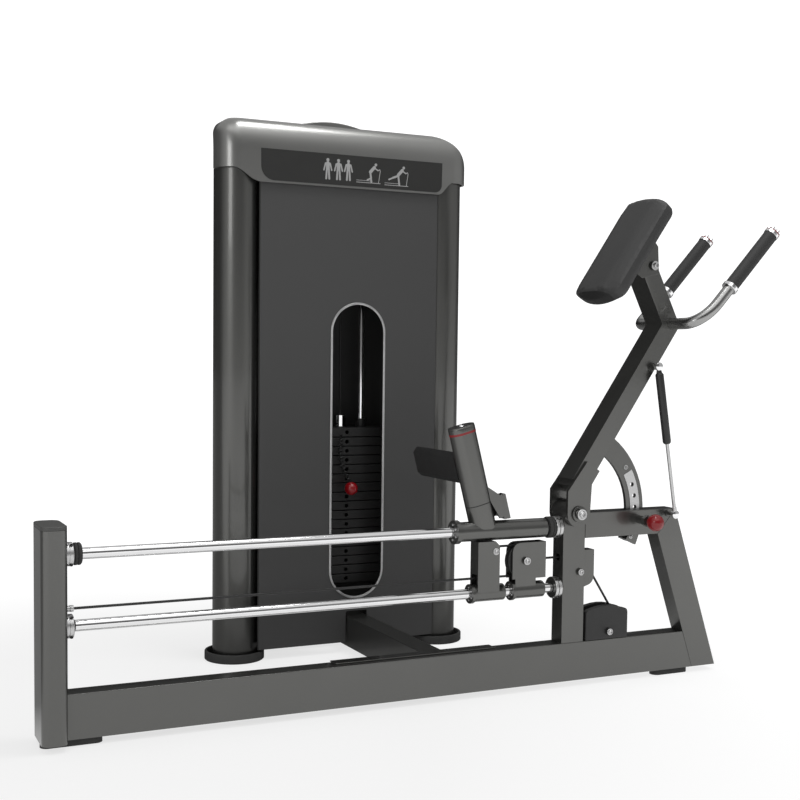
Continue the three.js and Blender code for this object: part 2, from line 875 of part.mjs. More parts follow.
// Sheet guard round the pulley on the upright, open at the bottom for the cable
function buildPulleyGuard() {
  const left = uprightLeft + uprightWidth + seat;
  const right = left + guardReach;
  const half = guardWidth / 2;
  const outline = (inset) => {
    const shape = new THREE.Shape();
    shape.moveTo(left - (inset ? overrun : 0), guardTop - inset);
    shape.lineTo(left - (inset ? overrun : 0), guardBottom + inset);
    shape.lineTo(right - inset - guardCorner, guardBottom + guardCorner / 2 + inset);
    shape.quadraticCurveTo(right - inset, guardBottom + guardCorner, right - inset, guardBottom + guardNose);
    shape.lineTo(right - inset, guardTop - inset);
    return shape;
  };
  const shell = slabXZ(outline(0), -half, half);
  const hollow = slabXZ(outline(guardSheet), -half + guardSheet, half - guardSheet);
  const mouth = bar(
    left - overrun, right + overrun, -pulleyWidth / 2, pulleyWidth / 2,
    guardBottom - overrun, guardBottom + guardMouth,
  );
  addPiece(frame, 'pulley_guard', cut(shell, hollow, mouth), graphite);
}

// Two-sided cover on the rail round the base pulley, with the pulley's bolt
function buildBaseCover() {
  const bottom = railTop + seat;
  const half = coverWidth / 2;
  const shape = new THREE.Shape();
  shape.moveTo(coverLeft, bottom);
  shape.lineTo(coverRight, bottom);
  shape.lineTo(coverRight, coverShoulder - coverCorner);
  shape.quadraticCurveTo(coverRight, coverShoulder, coverRight - coverCorner, coverShoulder);
  shape.quadraticCurveTo(basePulleyX, coverCrown * 2 - coverShoulder, coverLeft + coverCorner / 2, coverShoulder);
  shape.lineTo(coverLeft, coverShoulder - coverCorner / 2);
  const block = slabXZ(shape, -half, half);
  const slot = bar(
    coverLeft - overrun, coverRight - coverBridge, -coverSlot / 2, coverSlot / 2,
    bottom - overrun, coverCrown + overrun * 2,
  );
  const bolt = boltAlongY(basePulleyX, basePulleyZ, -half, half);
  addPiece(frame, 'base_pulley_cover', join(cut(block, slot), bolt), blackPlastic);
}

// Tower columns: wide round tubes standing in rubber foot rings
function buildColumns() {
  const columns = [['left', leftColumnX], ['right', rightColumnX]];
  for (const [side, x] of columns) {
    const column = rodZ(ringSole + seat, columnTop, x, columnY, columnRadius, columnSides);
    const core = rodZ(
      ringSole - overrun, columnTop + overrun, x, columnY, columnRadius - columnWall, columnSides);
    addPiece(frame, `${side}_column`, cut(column, core), graphite);
    const innerRadius = columnRadius + ringGap;
    const outer = rodZ(0, ringHeight, x, columnY, innerRadius + ringWall, columnSides);
    const inner = rodZ(ringSole, ringHeight + overrun, x, columnY, innerRadius, columnSides);
    addPiece(frame, `${side}_foot_ring`, cut(outer, inner), rubber);
  }
}

// Moulded shroud over the tower, with the apron that drops between the columns
function shroudOutline() {
  const left = shroudLeft;
  const right = shroudRight;
  const top = shroudTop;
  const leftCorner = shroudLeftCorner;
  const rightCorner = shroudRightCorner;
  const shape = new THREE.Shape();
  shape.moveTo(left, shroudHem);
  shape.lineTo(apronLeft - apronRun, shroudHem);
  shape.bezierCurveTo(
    apronLeft - apronRun / 2, shroudHem, apronLeft - apronRun / 2, shroudApron,
    apronLeft, shroudApron,
  );
  shape.lineTo(apronRight, shroudApron);
  shape.bezierCurveTo(
    apronRight + apronRun / 2, shroudApron, apronRight + apronRun / 2, shroudHem,
    apronRight + apronRun, shroudHem,
  );
  shape.lineTo(right, shroudHem);
  shape.lineTo(right, top - rightCorner);
  shape.absarc(right - rightCorner, top - rightCorner, rightCorner, 0, Math.PI / 2, false);
  shape.lineTo(left + leftCorner, top);
  shape.absarc(left + leftCorner, top - leftCorner, leftCorner, Math.PI / 2, Math.PI, false);
  return shape;
}

// Plan of the shroud: round front corners, and flanks that draw in towards the back
function shroudPlan(inset) {
  const left = shroudLeft + inset;
  const right = shroudRight - inset;
  const front = shroudFront + inset;
  const back = shroudBack - inset;
  const corner = shroudPlanCorner - inset;
  const shape = new THREE.Shape();
  shape.moveTo(left + shroudTaper, back);
  shape.lineTo(left, front + corner);
  shape.absarc(left + corner, front + corner, corner, Math.PI, 1.5 * Math.PI, false);
  shape.absarc(right - corner, front + corner, corner, 1.5 * Math.PI, 2 * Math.PI, false);
  shape.lineTo(right - shroudTaper, back);
  return shape;
}

// A block with all its upper edges rounded; inset gives the room inside the shroud's wall
function roundedShroud(inset) {
  const round = shroudRound - inset;
  const low = shroudApron - shroudPlanCorner;
  const high = shroudTop - shroudRound;
  return new THREE.ExtrudeGeometry(shroudPlan(shroudRound), {
    depth: high - low,
    bevelEnabled: true,
    bevelThickness: round,
    bevelSize: round,
    bevelSegments: 4,
    curveSegments: 5,
  }).translate(0, 0, low);
}

function buildShroud() {
  const profile = slabXZ(shroudOutline(), shroudFront - overrun, shroudBack + overrun, 5);
  const backRelief = bar(
    shroudLeft - overrun, shroudRight + overrun, panelPlane, shroudBack + overrun,
    shroudApron - overrun, shroudHem,
  );
  const humpShape = new THREE.Shape();
  humpShape.moveTo(humpLeft, shroudTop - shroudWall);
  humpShape.lineTo(humpRight, shroudTop - shroudWall);
  humpShape.bezierCurveTo(
    humpRight - humpShoulder, shroudTop + humpHeight, humpLeft + humpShoulder, shroudTop + humpHeight,
    humpLeft, shroudTop - shroudWall,
  );
  const hump = slabXZ(humpShape, humpFront, humpBack, 5);
  const ledges = [
    [shroudLeft + shroudWall / 2, leftColumnX],
    [rightColumnX, shroudRight - shroudWall / 2],
  ].map(([left, right]) => bar(
    left, right, columnY - ledgeHalf, columnY + ledgeHalf,
    columnTop + seat, columnTop + seat + shroudWall,
  ));
  const body = toSolid(roundedShroud(0)).intersect(toSolid(profile));
  const shell = body
    .add(toSolid(hump))
    .subtract(toSolid(backRelief))
    .subtract(toSolid(roundedShroud(shroudWall)))
    .add(toSolid(ledges[0]))
    .add(toSolid(ledges[1]));
  addPiece(frame, 'top_shroud', toGeometry(shell), silverGrey);
}

// Front panel: folded sheet with the stadium window and the notch for the cross-beam
function windowOutline(grow) {
  const radius = windowWidth / 2 + grow;
  const shape = new THREE.Shape();
  const low = windowBottom + windowWidth / 2;
  const high = windowTop - windowWidth / 2;
  shape.moveTo(windowX + radius, low);
  shape.lineTo(windowX + radius, high);
  shape.absarc(windowX, high, radius, 0, Math.PI, false);
  shape.lineTo(windowX - radius, low);
  shape.absarc(windowX, low, radius, Math.PI, 2 * Math.PI, false);
  return shape;
}

function buildPanels() {
  const pan = bar(panelLeft, panelRight, panelPlane, panelPlane + panelReturn, panelBottom, panelTop);
  const hollow = bar(
    panelLeft + panelSheet, panelRight - panelSheet,
    panelPlane + panelSheet, panelPlane + panelReturn + overrun,
    panelBottom + panelSheet, panelTop - panelSheet,
  );
  const window = slabXZ(windowOutline(0), panelPlane - overrun, panelPlane + panelReturn + overrun, 10);
  const notch = bar(
    crossBeamLeft - notchClearance, crossBeamLeft + crossBeamWidth + notchClearance,
    panelPlane - overrun, panelPlane + panelReturn + overrun, panelBottom - overrun, notchTop,
  );
  addPiece(frame, 'front_panel', cut(pan, hollow, window, notch), panelGrey);
  const trimShape = windowOutline(trimBand);
  trimShape.holes.push(windowOutline(0));
  const trim = slabXZ(trimShape, panelPlane - seat - trimProud, panelPlane - seat, 10);
  addPiece(frame, 'window_trim', trim, chrome);
  const coverFront = columnY + columnRadius + seat;
  const cover = bar(
    leftColumnX, rightColumnX, coverFront, rearPanelPlane, ringHeight + seat, columnTop - seat);
  const coverRoom = bar(
    leftColumnX + rearPanelSheet, rightColumnX - rearPanelSheet,
    coverFront - overrun, rearPanelPlane - rearPanelSheet,
    ringHeight - overrun, columnTop + overrun,
  );
  addPiece(frame, 'rear_panel', cut(cover, coverRoom), panelGrey);
}

// Tower base member, cushion, header and the two stack guide rods
function buildTowerFrame() {
  const innerLeft = leftColumnX + columnRadius + seat;
  const innerRight = rightColumnX - columnRadius - seat;
  const memberFront = baseMemberFront + seat;
  const memberBack = baseMemberFront + baseMemberDepth;
  const memberBottom = ringHeight + seat;
  const member = bar(innerLeft, innerRight, memberFront, memberBack, memberBottom, baseMemberTop);
  const memberCore = bar(
    innerLeft + tubeWall, innerRight - tubeWall, memberFront + tubeWall, memberBack - tubeWall,
    memberBottom - overrun, baseMemberTop - overrun * 2,
  );
  const cableWay = bar(
    crossCableX - cableWayRadius, crossCableX + cableWayRadius, memberFront - overrun, memberBack + overrun,
    cableDeckZ - cableWayRadius, cableDeckZ + cableWayRadius,
  );
  const hangers = [innerLeft, innerRight - hangerWidth].map((left) => bar(
    left, left + hangerWidth, panelPlane + panelSheet + seat, memberFront + tubeWall / 2,
    panelBottom + panelReturn, baseMemberTop,
  ));
  const axleY = cableRiseY - towerBasePitch;
  const axleZ = cableDeckZ + towerBasePitch;
  const cheekReach = axleY + boltHeadRadius;
  const cheekGap = pulleyWidth / 2 + seat;
  const cheeks = [-1, 1].map((side) => {
    const near = crossCableX + side * cheekGap;
    const far = near + side * cheekThickness;
    return bar(
      Math.min(near, far), Math.max(near, far), memberBack - overrun, cheekReach,
      axleZ - boltHeadRadius, axleZ + boltHeadRadius,
    );
  });
  const axle = rodX(crossCableX - cheekGap, crossCableX + cheekGap, axleY, axleZ, axleRadius, smallSides);
  const rodSockets = [-1, 1].map((side) => rodZ(
    baseMemberTop - overrun, baseMemberTop + overrun, stackX + side * guideSpacing, stackDepthY,
    guideRadius + slideGap,
  ));
  addPiece(frame, 'tower_base', cut(
    join(cut(member, memberCore), ...hangers, ...cheeks, axle), cableWay, ...rodSockets), graphite);

  const cushionHalf = cushionWidth / 2;
  const cushion = bar(
    stackX - cushionHalf, stackX + cushionHalf,
    stackDepthY - cushionDepth / 2, stackDepthY + cushionDepth / 2,
    baseMemberTop + seat, stackBottom - seat,
  );
  const cushionBores = [-1, 1].map((side) => rodZ(
    baseMemberTop - overrun, stackBottom + overrun, stackX + side * guideSpacing, stackDepthY,
    guideRadius + slideGap,
  ));
  addPiece(frame, 'stack_cushion', cut(cushion, ...cushionBores), rubber);

  const headerTop = headerBottom + headerHeight;
  const header = bar(innerLeft, innerRight, headerFront, headerFront + headerDepth, headerBottom, headerTop);
  const cableHole = rodZ(
    headerBottom - overrun, headerTop + overrun, stackX, stackDepthY, headerHoleRadius, smallSides);
  const pulleyY = stackDepthY + topPitch;
  const topCheeks = [-1, 1].map((side) => {
    const near = stackX + side * cheekGap;
    const far = near + side * cheekThickness;
    return bar(
      Math.min(near, far), Math.max(near, far), pulleyY - boltHeadRadius * 2, pulleyY + boltHeadRadius * 2,
      headerTop - tubeWall, topPulleyZ + boltHeadRadius,
    );
  });
  const topAxle = rodX(stackX - cheekGap, stackX + cheekGap, pulleyY, topPulleyZ, axleRadius, smallSides);
  const headerSockets = [-1, 1].map((side) => rodZ(
    headerBottom - overrun, headerBottom + headerHeight / 2, stackX + side * guideSpacing, stackDepthY,
    guideRadius + slideGap,
  ));
  addPiece(frame, 'tower_header', cut(
    join(header, ...topCheeks, topAxle), cableHole, ...headerSockets), graphite);

  const guides = [['left', -1], ['right', 1]];
  for (const [name, side] of guides) {
    addPiece(frame, `${name}_stack_rod`, rodZ(
      baseMemberTop - overrun + seat, headerBottom + headerHeight / 2 - seat,
      stackX + side * guideSpacing, stackDepthY, guideRadius, smallSides,
    ), chrome);
  }
}

// Weight plates: bored for the rods and the stem, with raised spacer bosses round the rod bores
function plateSolid(bottom, thickness) {
  const half = plateWidth / 2;
  const plate = bar(stackX - half, stackX + half, stackFront, stackFront + plateDepth, bottom, bottom + thickness);
  return toSolid(plate);
}

function bossAt(side, bottom, top) {
  return toSolid(rodZ(bottom, top, stackX + side * guideSpacing, stackDepthY, spacerRadius, fewSides));
}

function boreTools(low, high) {
  const tools = [-1, 1].map((side) => rodZ(
    low, high, stackX + side * guideSpacing, stackDepthY, plateGuideBore, fewSides));
  tools.push(rodZ(low, high, stackX, stackDepthY, stemBore, fewSides));
  return tools.map(toSolid);
}

function plateBlock(start, count) {
  let block = null;
  for (let i = 0; i < count; i += 1) {
    const bottom = stackBottom + (start + i) * platePitch;
    const bossTop = bottom + platePitch - (i < count - 1 ? 0 : seat);
    let plate = plateSolid(bottom, plateThickness);
    for (const side of [-1, 1]) {
      plate = plate.add(bossAt(side, bottom + plateThickness / 2, bossTop));
    }
    block = block ? block.add(plate) : plate;
  }
  const low = stackBottom + start * platePitch - overrun;
  const high = stackBottom + (start + count) * platePitch + overrun;
  for (const tool of boreTools(low, high)) {
    block = block.subtract(tool);
  }
  for (let i = 0; i < count; i += 1) {
    const z = stackBottom + (start + i) * platePitch + plateThickness / 2;
    block = block.subtract(toSolid(rodY(stackFront - overrun, stackDepthY, stackX, z, pinHoleRadius, 6)));
  }
  return toGeometry(block);
}

const stack = new THREE.Group();
machine.add(stack);
const pinPlate = restingPlateCount;
const pinZ = stackBottom + pinPlate * platePitch + plateThickness / 2;
const headBottom = stackBottom + (restingPlateCount + liftedPlateCount) * platePitch;
const headTop = headBottom + headPlateThickness;

function buildStack() {
  addPiece(frame, 'resting_plates', plateBlock(0, restingPlateCount), plateBlack);
  addPiece(stack, 'lifted_plates', plateBlock(restingPlateCount, liftedPlateCount), plateBlack);
  const half = plateWidth / 2;
  const head = bar(
    stackX - half, stackX + half, stackFront, stackFront + plateDepth, headBottom, headTop);
  const bushes = [-1, 1].map((side) => rodZ(
    headTop - overrun, headTop + headBushHeight, stackX + side * guideSpacing, stackDepthY,
    headBushRadius, smallSides,
  ));
  let headSolid = toSolid(join(head, ...bushes));
  for (const tool of boreTools(headBottom - overrun, headTop + headBushHeight + overrun)) {
    headSolid = headSolid.subtract(tool);
  }
  headSolid = headSolid.subtract(toSolid(rodY(
    stackFront - overrun, stackDepthY, stackX, headBottom + headPlateThickness / 2, pinHoleRadius, 6)));
  addPiece(stack, 'head_plate', toGeometry(headSolid), plateBlack);

  const stemTop = headTop + seat + stemCollarHeight;
  const stem = rodZ(stackBottom, stemTop, stackX, stackDepthY, stemRadius, smallSides);
  const collar = rodZ(headTop + seat, stemTop, stackX, stackDepthY, stemCollarRadius, smallSides);
  let stemSolid = toSolid(join(stem, collar));
  const holeCount = restingPlateCount + liftedPlateCount;
  for (let i = 0; i < holeCount; i += 1) {
    const z = stackBottom + i * platePitch + plateThickness / 2;
    stemSolid = stemSolid.subtract(toSolid(rodY(
      stackDepthY - stemRadius - overrun, stackDepthY + stemRadius + overrun, stackX, z, pinHoleRadius, 6)));
  }
  addPiece(stack, 'selector_stem', toGeometry(stemSolid), chrome);
}

// Selector pin with its knob
const pinGroup = new THREE.Group();
machine.add(pinGroup);

function buildSelectorPin() {
  const tip = stackFront + pinReach;
  const collarEnd = stackFront - seat;
  const collarStart = collarEnd - pinCollarLength;
  const knobY = collarStart - pinKnobReach;
  const pin = rodY(collarEnd - overrun, tip, stackX, pinZ, pinRadius, smallSides);
  const collar = rodY(collarStart - overrun, collarEnd, stackX, pinZ, pinCollarRadius, smallSides);
  const knob = new THREE.SphereGeometry(pinKnobRadius, 12, 8).translate(stackX, knobY, pinZ);
  addPiece(pinGroup, 'selector_pin', join(pin, collar, knob), knobRed);
}

// Curly lanyard: one unbroken coil from the head plate down to the pin's collar
function lanyardAxis(t) {
  const top = new THREE.Vector3(stackX - lanyardOffset, stackFront - lanyardBulge, headBottom);
  const low = new THREE.Vector3(stackX, stackFront - lanyardBulge, pinZ + pinCollarRadius + lanyardBulge);
  return top.lerp(low, t).addScaledVector(axisX, -lanyardSway * Math.sin(Math.PI * t));
}

function tubeRings(centres, radius, sides) {
  const positions = [];
  const indices = [];
  const last = centres.length - 1;
  let normal = null;
  centres.forEach((centre, i) => {
    const before = centres[Math.max(i - 1, 0)];
    const after = centres[Math.min(i + 1, last)];
    const tangent = new THREE.Vector3().subVectors(after, before).normalize();
    const guide = normal || new THREE.Vector3().crossVectors(tangent, axisX);
    normal = guide.clone().addScaledVector(tangent, -guide.dot(tangent)).normalize();
    const side = new THREE.Vector3().crossVectors(tangent, normal);
    for (let k = 0; k < sides; k += 1) {
      const angle = 2 * Math.PI * k / sides;
      const point = centre.clone()
        .addScaledVector(normal, radius * Math.cos(angle))
        .addScaledVector(side, radius * Math.sin(angle));
      positions.push(point.x, point.y, point.z);
    }
  });
  for (let i = 0; i < last; i += 1) {
    for (let k = 0; k < sides; k += 1) {
      const a = i * sides + k;
      const b = i * sides + (k + 1) % sides;
      indices.push(a, b, b + sides, a, b + sides, a + sides);
    }
  }
  for (const [end, flip] of [[0, true], [last, false]]) {
    const centre = positions.length / 3;
    positions.push(centres[end].x, centres[end].y, centres[end].z);
    for (let k = 0; k < sides; k += 1) {
      const a = end * sides + k;
      const b = end * sides + (k + 1) % sides;
      indices.push(...(flip ? [centre, b, a] : [centre, a, b]));
    }
  }
  const geometry = new THREE.BufferGeometry();
  geometry.setAttribute('position', new THREE.Float32BufferAttribute(positions, 3));
  geometry.setIndex(indices);
  geometry.computeVertexNormals();
  return geometry;
}

function buildLanyard() {
  const steps = lanyardTurns * lanyardStepsPerTurn;
  const centres = [];
  for (let i = 0; i <= steps; i += 1) {
    const t = i / steps;
    const axis = lanyardAxis(t);
    const ahead = lanyardAxis(Math.min(t + 1 / steps, 1));
    const behind = lanyardAxis(Math.max(t - 1 / steps, 0));
    const tangent = ahead.sub(behind).normalize();
    const across = new THREE.Vector3().crossVectors(tangent, axisY).normalize();
    const up = new THREE.Vector3().crossVectors(across, tangent);
    const angle = 2 * Math.PI * lanyardTurns * t;
    centres.push(axis
      .addScaledVector(across, lanyardCoilRadius * Math.cos(angle))
      .addScaledVector(up, lanyardCoilRadius * Math.sin(angle)));
  }
  const plateFace = new THREE.Vector3(centres[0].x, stackFront - seat, centres[0].z + lanyardCoilRadius);
  const plateLead = plateFace.clone().addScaledVector(axisY, -2 * lanyardWire);
  const collarTop = new THREE.Vector3(
    stackX, stackFront - seat - pinCollarLength / 2, pinZ + pinCollarRadius + seat);
  const collarLead = collarTop.clone().addScaledVector(axisZ, 2 * lanyardWire);
  centres.unshift(plateFace, plateLead);
  centres.push(collarLead, collarTop);
  let nearest = Infinity;
  for (let i = 0; i < centres.length; i += 1) {
    for (let k = i + lanyardStepsPerTurn - 2; k < centres.length; k += 1) {
      nearest = Math.min(nearest, centres[i].distanceTo(centres[k]) - 2 * lanyardWire);
    }
  }
  console.log(`lanyard: least gap between turns ${nearest.toFixed(2)} mm`);
  addPiece(stack, 'pin_lanyard', tubeRings(centres, lanyardWire, lanyardSides), wireBlack);
}

// Foot carriage: long sleeve on the upper rod, bracket, and short sleeve on the lower rod
const footCarriage = new THREE.Group();
machine.add(footCarriage);

function inFootPost(geometry) {
  return geometry.rotateY(-footPostLean).translate(footPostX, 0, upperRodZ);
}

function buildFootCarriage() {
  const sleeve = rodX(sleeveStart, sleeveStart + sleeveLength, 0, upperRodZ, sleeveRadius);
  const flange = rodX(sleeveStart, sleeveStart + sleeveFlangeLength, 0, upperRodZ, sleeveFlangeRadius);
  const stub = inFootPost(slabXY(flatOval(stubDepth, stubWidth), stubStart, stubTop, 8).rotateZ(Math.PI / 2));
  const bore = rodX(
    sleeveStart - overrun, sleeveStart + sleeveLength + overrun, 0, upperRodZ, rodRadius + slideGap);
  addPiece(footCarriage, 'slide_sleeve', cut(join(sleeve, flange, stub), bore), graphite);

  const right = bracketLeft + bracketWidth;
  const top = upperRodZ - sleeveRadius - seat;
  const shape = outlineOf([
    [bracketLeft, lowerRodZ], [right, lowerRodZ], [right, top - bracketCorner],
    [right - bracketCorner, top], [bracketLeft, top],
  ]);
  const half = bracketDepth / 2;
  const block = slabXZ(shape, -half, half);
  const lowSleeve = rodX(footShortStart, footShortStart + shortSleeveLength, 0, lowerRodZ, shortSleeveRadius);
  const lowFlange = rodX(footShortStart, footShortStart + shortFlangeLength, 0, lowerRodZ, shortFlangeRadius);
  const lowBore = rodX(
    footShortStart - overrun, footShortStart + shortSleeveLength + overrun,
    0, lowerRodZ, rodRadius + slideGap,
  );
  const cableRun = travelPulleyZ - travelPitch;
  const cableWay = bar(
    bracketLeft - overrun, right + overrun, -half + bracketSheet, half - bracketSheet,
    lowerRodZ + shortSleeveRadius + seat, cableRun + shortSleeveRadius / 2,
  );
  addPiece(footCarriage, 'slide_bracket', cut(join(block, lowSleeve, lowFlange), lowBore, cableWay), graphite);
}

// Foot post: outer tube that slides over the stub, its cap, the foot plate and the lock lever
const footPost = new THREE.Group();
footPost.position.set(footPostX, 0, upperRodZ);
footPost.rotation.y = -footPostLean;
machine.add(footPost);

function buildFootPost() {
  const tube = flatOval(footTubeDepth, footTubeWidth);
  const bore = flatOval(footTubeDepth - 2 * footTubeWall, footTubeWidth - 2 * footTubeWall);
  const outer = slabXY(tube, footTubeStart, footTubeTop + footCapHeight, 8).rotateZ(Math.PI / 2);
  const inner = slabXY(bore, footTubeStart - overrun, footTubeTop - footTubeWall, 8).rotateZ(Math.PI / 2);
  const leverHalf = leverWidth / 2;
  const earShape = outlineOf([
    [earRoot, earTop], [earRoot, footTubeStart], [(earRoot + earNose) / 2, earFoot],
    [leverPinX, earFoot], [earNose, leverPinZ], [earNose, leverTop],
  ]);
  const ears = [-1, 1].map((side) => {
    const near = side * (leverHalf + sideGap);
    const far = near + side * earThickness;
    return slabXZ(earShape, Math.min(near, far), Math.max(near, far));
  });
  const pinHalf = leverHalf + sideGap + earThickness / 2;
  const earPin = rodY(-pinHalf, pinHalf, leverPinX, leverPinZ, leverPinRadius, smallSides);
  addPiece(footPost, 'foot_tube', join(cut(outer, inner), ...ears, earPin), graphite);

  const nearY = footTubeDepth / 2 + seat;
  const top = footPlateStart + footPlateHeight;
  const front = footPlateBack + footPlateSheet;
  const profile = outlineOf([
    [footPlateBack + footPlateLip / 2, footPlateStart], [footPlateBack, footPlateStart + footPlateLip],
    [footPlateBack, top - footPlateRound], [footPlateBack + footPlateLip, top],
    [front + footPlateLip, top - footPlateSheet / 2], [front, top - footPlateRound - footPlateSheet / 2],
    [front, footPlateStart + footPlateLip + footPlateSheet / 2],
    [front + footPlateLip / 2, footPlateStart + footPlateSheet / 2],
  ]);
  const sheet = slabXZ(profile, nearY, nearY + footPlateLength);
  const face = new THREE.ExtrudeGeometry(
    roundedBox(nearY - longOverrun, nearY + footPlateLength, footPlateStart, top, footPlateRound),
    { depth: footPlateBlank, bevelEnabled: false, curveSegments: 5 },
  ).applyMatrix4(new THREE.Matrix4().makeBasis(axisY, axisZ, axisX)).translate(footPlateBack - overrun, 0, 0);
  const lug = bar(
    front - footPlateSheet / 2, front + footPlateLug, nearY, nearY + footPlateLug * 2,
    footPlateStart + footPlateLug, top - footPlateLugTop,
  );
  const plate = toSolid(sheet).intersect(toSolid(face)).add(toSolid(lug));
  addPiece(footPost, 'foot_plate', toGeometry(plate), blackPlastic);

  const leverBore = rodY(
    -leverHalf - overrun, leverHalf + overrun, leverPinX, leverPinZ, leverPinRadius + slideGap, smallSides);
  const hookLeft = (leverLeft + leverRight) / 2;
  const lever = slabXZ(outlineOf([
    [leverLeft, leverBottom], [hookLeft, leverBottom], [hookLeft, leverBottom - leverHook],
    [leverRight, leverBottom - leverHookTip], [leverRight, leverTop], [leverPinX, leverTop],
    [leverLeft, leverPinZ + leverPinRadius * 2],
  ]), -leverHalf, leverHalf);
  const mouth = bar(
    leverPinX + leverPinRadius * 2, leverRight - footTubeWall,
    -leverHalf + footTubeWall, leverHalf - footTubeWall,
    leverMouthZ, leverTop + overrun,
  );
  addPiece(footPost, 'height_lever', cut(lever, leverBore, mouth), graphite);
}

// Pulley carriage on the lower rod
const pulleyCarriage = new THREE.Group();
machine.add(pulleyCarriage);

function buildPulleyCarriage() {
  const half = pulleyBracketWidth / 2;
  const shape = new THREE.Shape();
  shape.moveTo(pulleyBracketLeft, pulleyBracketBottom);
  shape.lineTo(pulleyBracketRight, pulleyBracketBottom);
  shape.lineTo(pulleyBracketRight, pulleyBracketTop);
  shape.lineTo(pulleyBracketLeft + pulleyBracketCorner, pulleyBracketTop);
  shape.quadraticCurveTo(
    pulleyBracketLeft, pulleyBracketTop, pulleyBracketLeft, pulleyBracketTop - pulleyBracketCorner);
  const block = slabXZ(shape, -half, half);
  const rim = travelPitch + travelFlange;
  const slotHalf = pulleyWidth / 2 + sideGap;
  const pocket = bar(
    pulleyBracketLeft - overrun, travelPulleyX + rim + sideGap, -slotHalf, slotHalf,
    pulleyBracketBottom - longOverrun, pulleyBracketTop + overrun,
  );
  const neckLeft = travelPulleyX - pulleyBracketNeck / 2;
  const neck = [-1, 1].map((side) => {
    const near = side * slotHalf;
    const far = side * half;
    return bar(
      neckLeft, neckLeft + pulleyBracketNeck, Math.min(near, far), Math.max(near, far),
      lowerRodZ, pulleyBracketBottom + overrun,
    );
  });
  const sleeve = rodX(pulleyShortStart, pulleyShortStart + shortSleeveLength, 0, lowerRodZ, shortSleeveRadius);
  const flange = rodX(pulleyShortStart, pulleyShortStart + shortFlangeLength, 0, lowerRodZ, shortFlangeRadius);
  const bore = rodX(
    pulleyShortStart - overrun, pulleyShortStart + shortSleeveLength + overrun,
    0, lowerRodZ, rodRadius + slideGap,
  );
  const axle = boltAlongY(travelPulleyX, travelPulleyZ, -half, half);
  addPiece(pulleyCarriage, 'pulley_carriage', cut(
    join(cut(block, pocket), ...neck, sleeve, flange, axle), bore), graphite);
}

// Pulleys, each in its own group so that it turns on its own axle
function buildPulleys() {
  const places = [
    ['travelling_pulley', travelPitch, travelFlange, travelPulleyX, 0, travelPulleyZ, 'y'],
    ['upright_pulley', uprightPitch, pulleyFlange, uprightPulleyX, 0, uprightPulleyZ, 'y'],
    ['base_pulley', basePitch, pulleyFlange, basePulleyX, 0, basePulleyZ, 'y'],
    ['corner_pulley', cornerPitch, pulleyFlange, cornerX, cornerY, cableDeckZ, 'z'],
    ['tower_base_pulley', towerBasePitch, pulleyFlange, crossCableX, cableRiseY - towerBasePitch,
      cableDeckZ + towerBasePitch, 'x'],
    ['top_pulley', topPitch, pulleyFlange, stackX, stackDepthY + topPitch, topPulleyZ, 'x'],
  ];
  const turns = {
    x: (mesh) => mesh.rotateZ(Math.PI / 2),
    y: (mesh) => mesh,
    z: (mesh) => mesh.rotateX(Math.PI / 2),
  };
  for (const [name, pitch, flange, x, y, z, axis] of places) {
    const mesh = addPiece(machine, name, pulleyGeometry(pitch, flange), blackPlastic);
    mesh.position.set(x, y, z);
    turns[axis](mesh);
  }
}

// Cables
function buildCables() {
  const pull = new THREE.Vector3(travelPulleyX, 0, travelPulleyZ);
  const anchorStart = postWidth + clampLength + cableRadius + seat;
  const bracketEnd = bracketLeft + bracketWidth + seat;
  const pedalPoints = [
    new THREE.Vector3(anchorStart, 0, travelPulleyZ - travelPitch),
    ...wrap(pull, travelPitch, axisX, axisZ, -Math.PI / 2, Math.PI / 2, 10),
    new THREE.Vector3(bracketEnd, 0, pedalCableZ),
  ];
  addPiece(machine, 'pedal_cable', tubeAlong(pedalPoints, cableRadius, 8), wireBlack);

  const upright = new THREE.Vector3(uprightPulleyX, 0, uprightPulleyZ);
  const base = new THREE.Vector3(basePulleyX, 0, basePulleyZ);
  const span = new THREE.Vector3().subVectors(base, upright);
  const spanAngle = Math.atan2(span.z, span.x);
  const tilt = Math.asin((basePitch - uprightPitch) / span.length());
  const leave = spanAngle + Math.PI / 2 + tilt;
  const corner = new THREE.Vector3(cornerX, cornerY, cableDeckZ);
  const rise = new THREE.Vector3(crossCableX, cableRiseY - towerBasePitch, cableDeckZ + towerBasePitch);
  const top = new THREE.Vector3(stackX, stackDepthY + topPitch, topPulleyZ);
  const stemTop = headTop + seat + stemCollarHeight;
  const stackPoints = [
    new THREE.Vector3(pulleyBracketRight + seat, 0, stackCableZ),
    ...wrap(upright, uprightPitch, axisX, axisZ, Math.PI / 2, leave, 4),
    ...wrap(base, basePitch, axisX, axisZ, leave, -Math.PI / 2, 7),
    ...wrap(corner, cornerPitch, axisX, axisY, -Math.PI / 2, -Math.PI, 5),
    ...wrap(rise, towerBasePitch, axisY, axisZ, -Math.PI / 2, 0, 5),
    ...wrap(top, topPitch, axisY, axisZ, 0, Math.PI, 10),
    new THREE.Vector3(stackX, stackDepthY, stemTop + seat),
  ];
  addPiece(machine, 'stack_cable', tubeAlong(stackPoints, cableRadius, 8), wireBlack);
}

// Chest arm, drawn with its own X axis along the arm and Z across it, then turned at the pivot
const arm = new THREE.Group();
arm.position.set(pivotX, 0, pivotZ);
arm.rotation.y = -armAngle;
machine.add(arm);

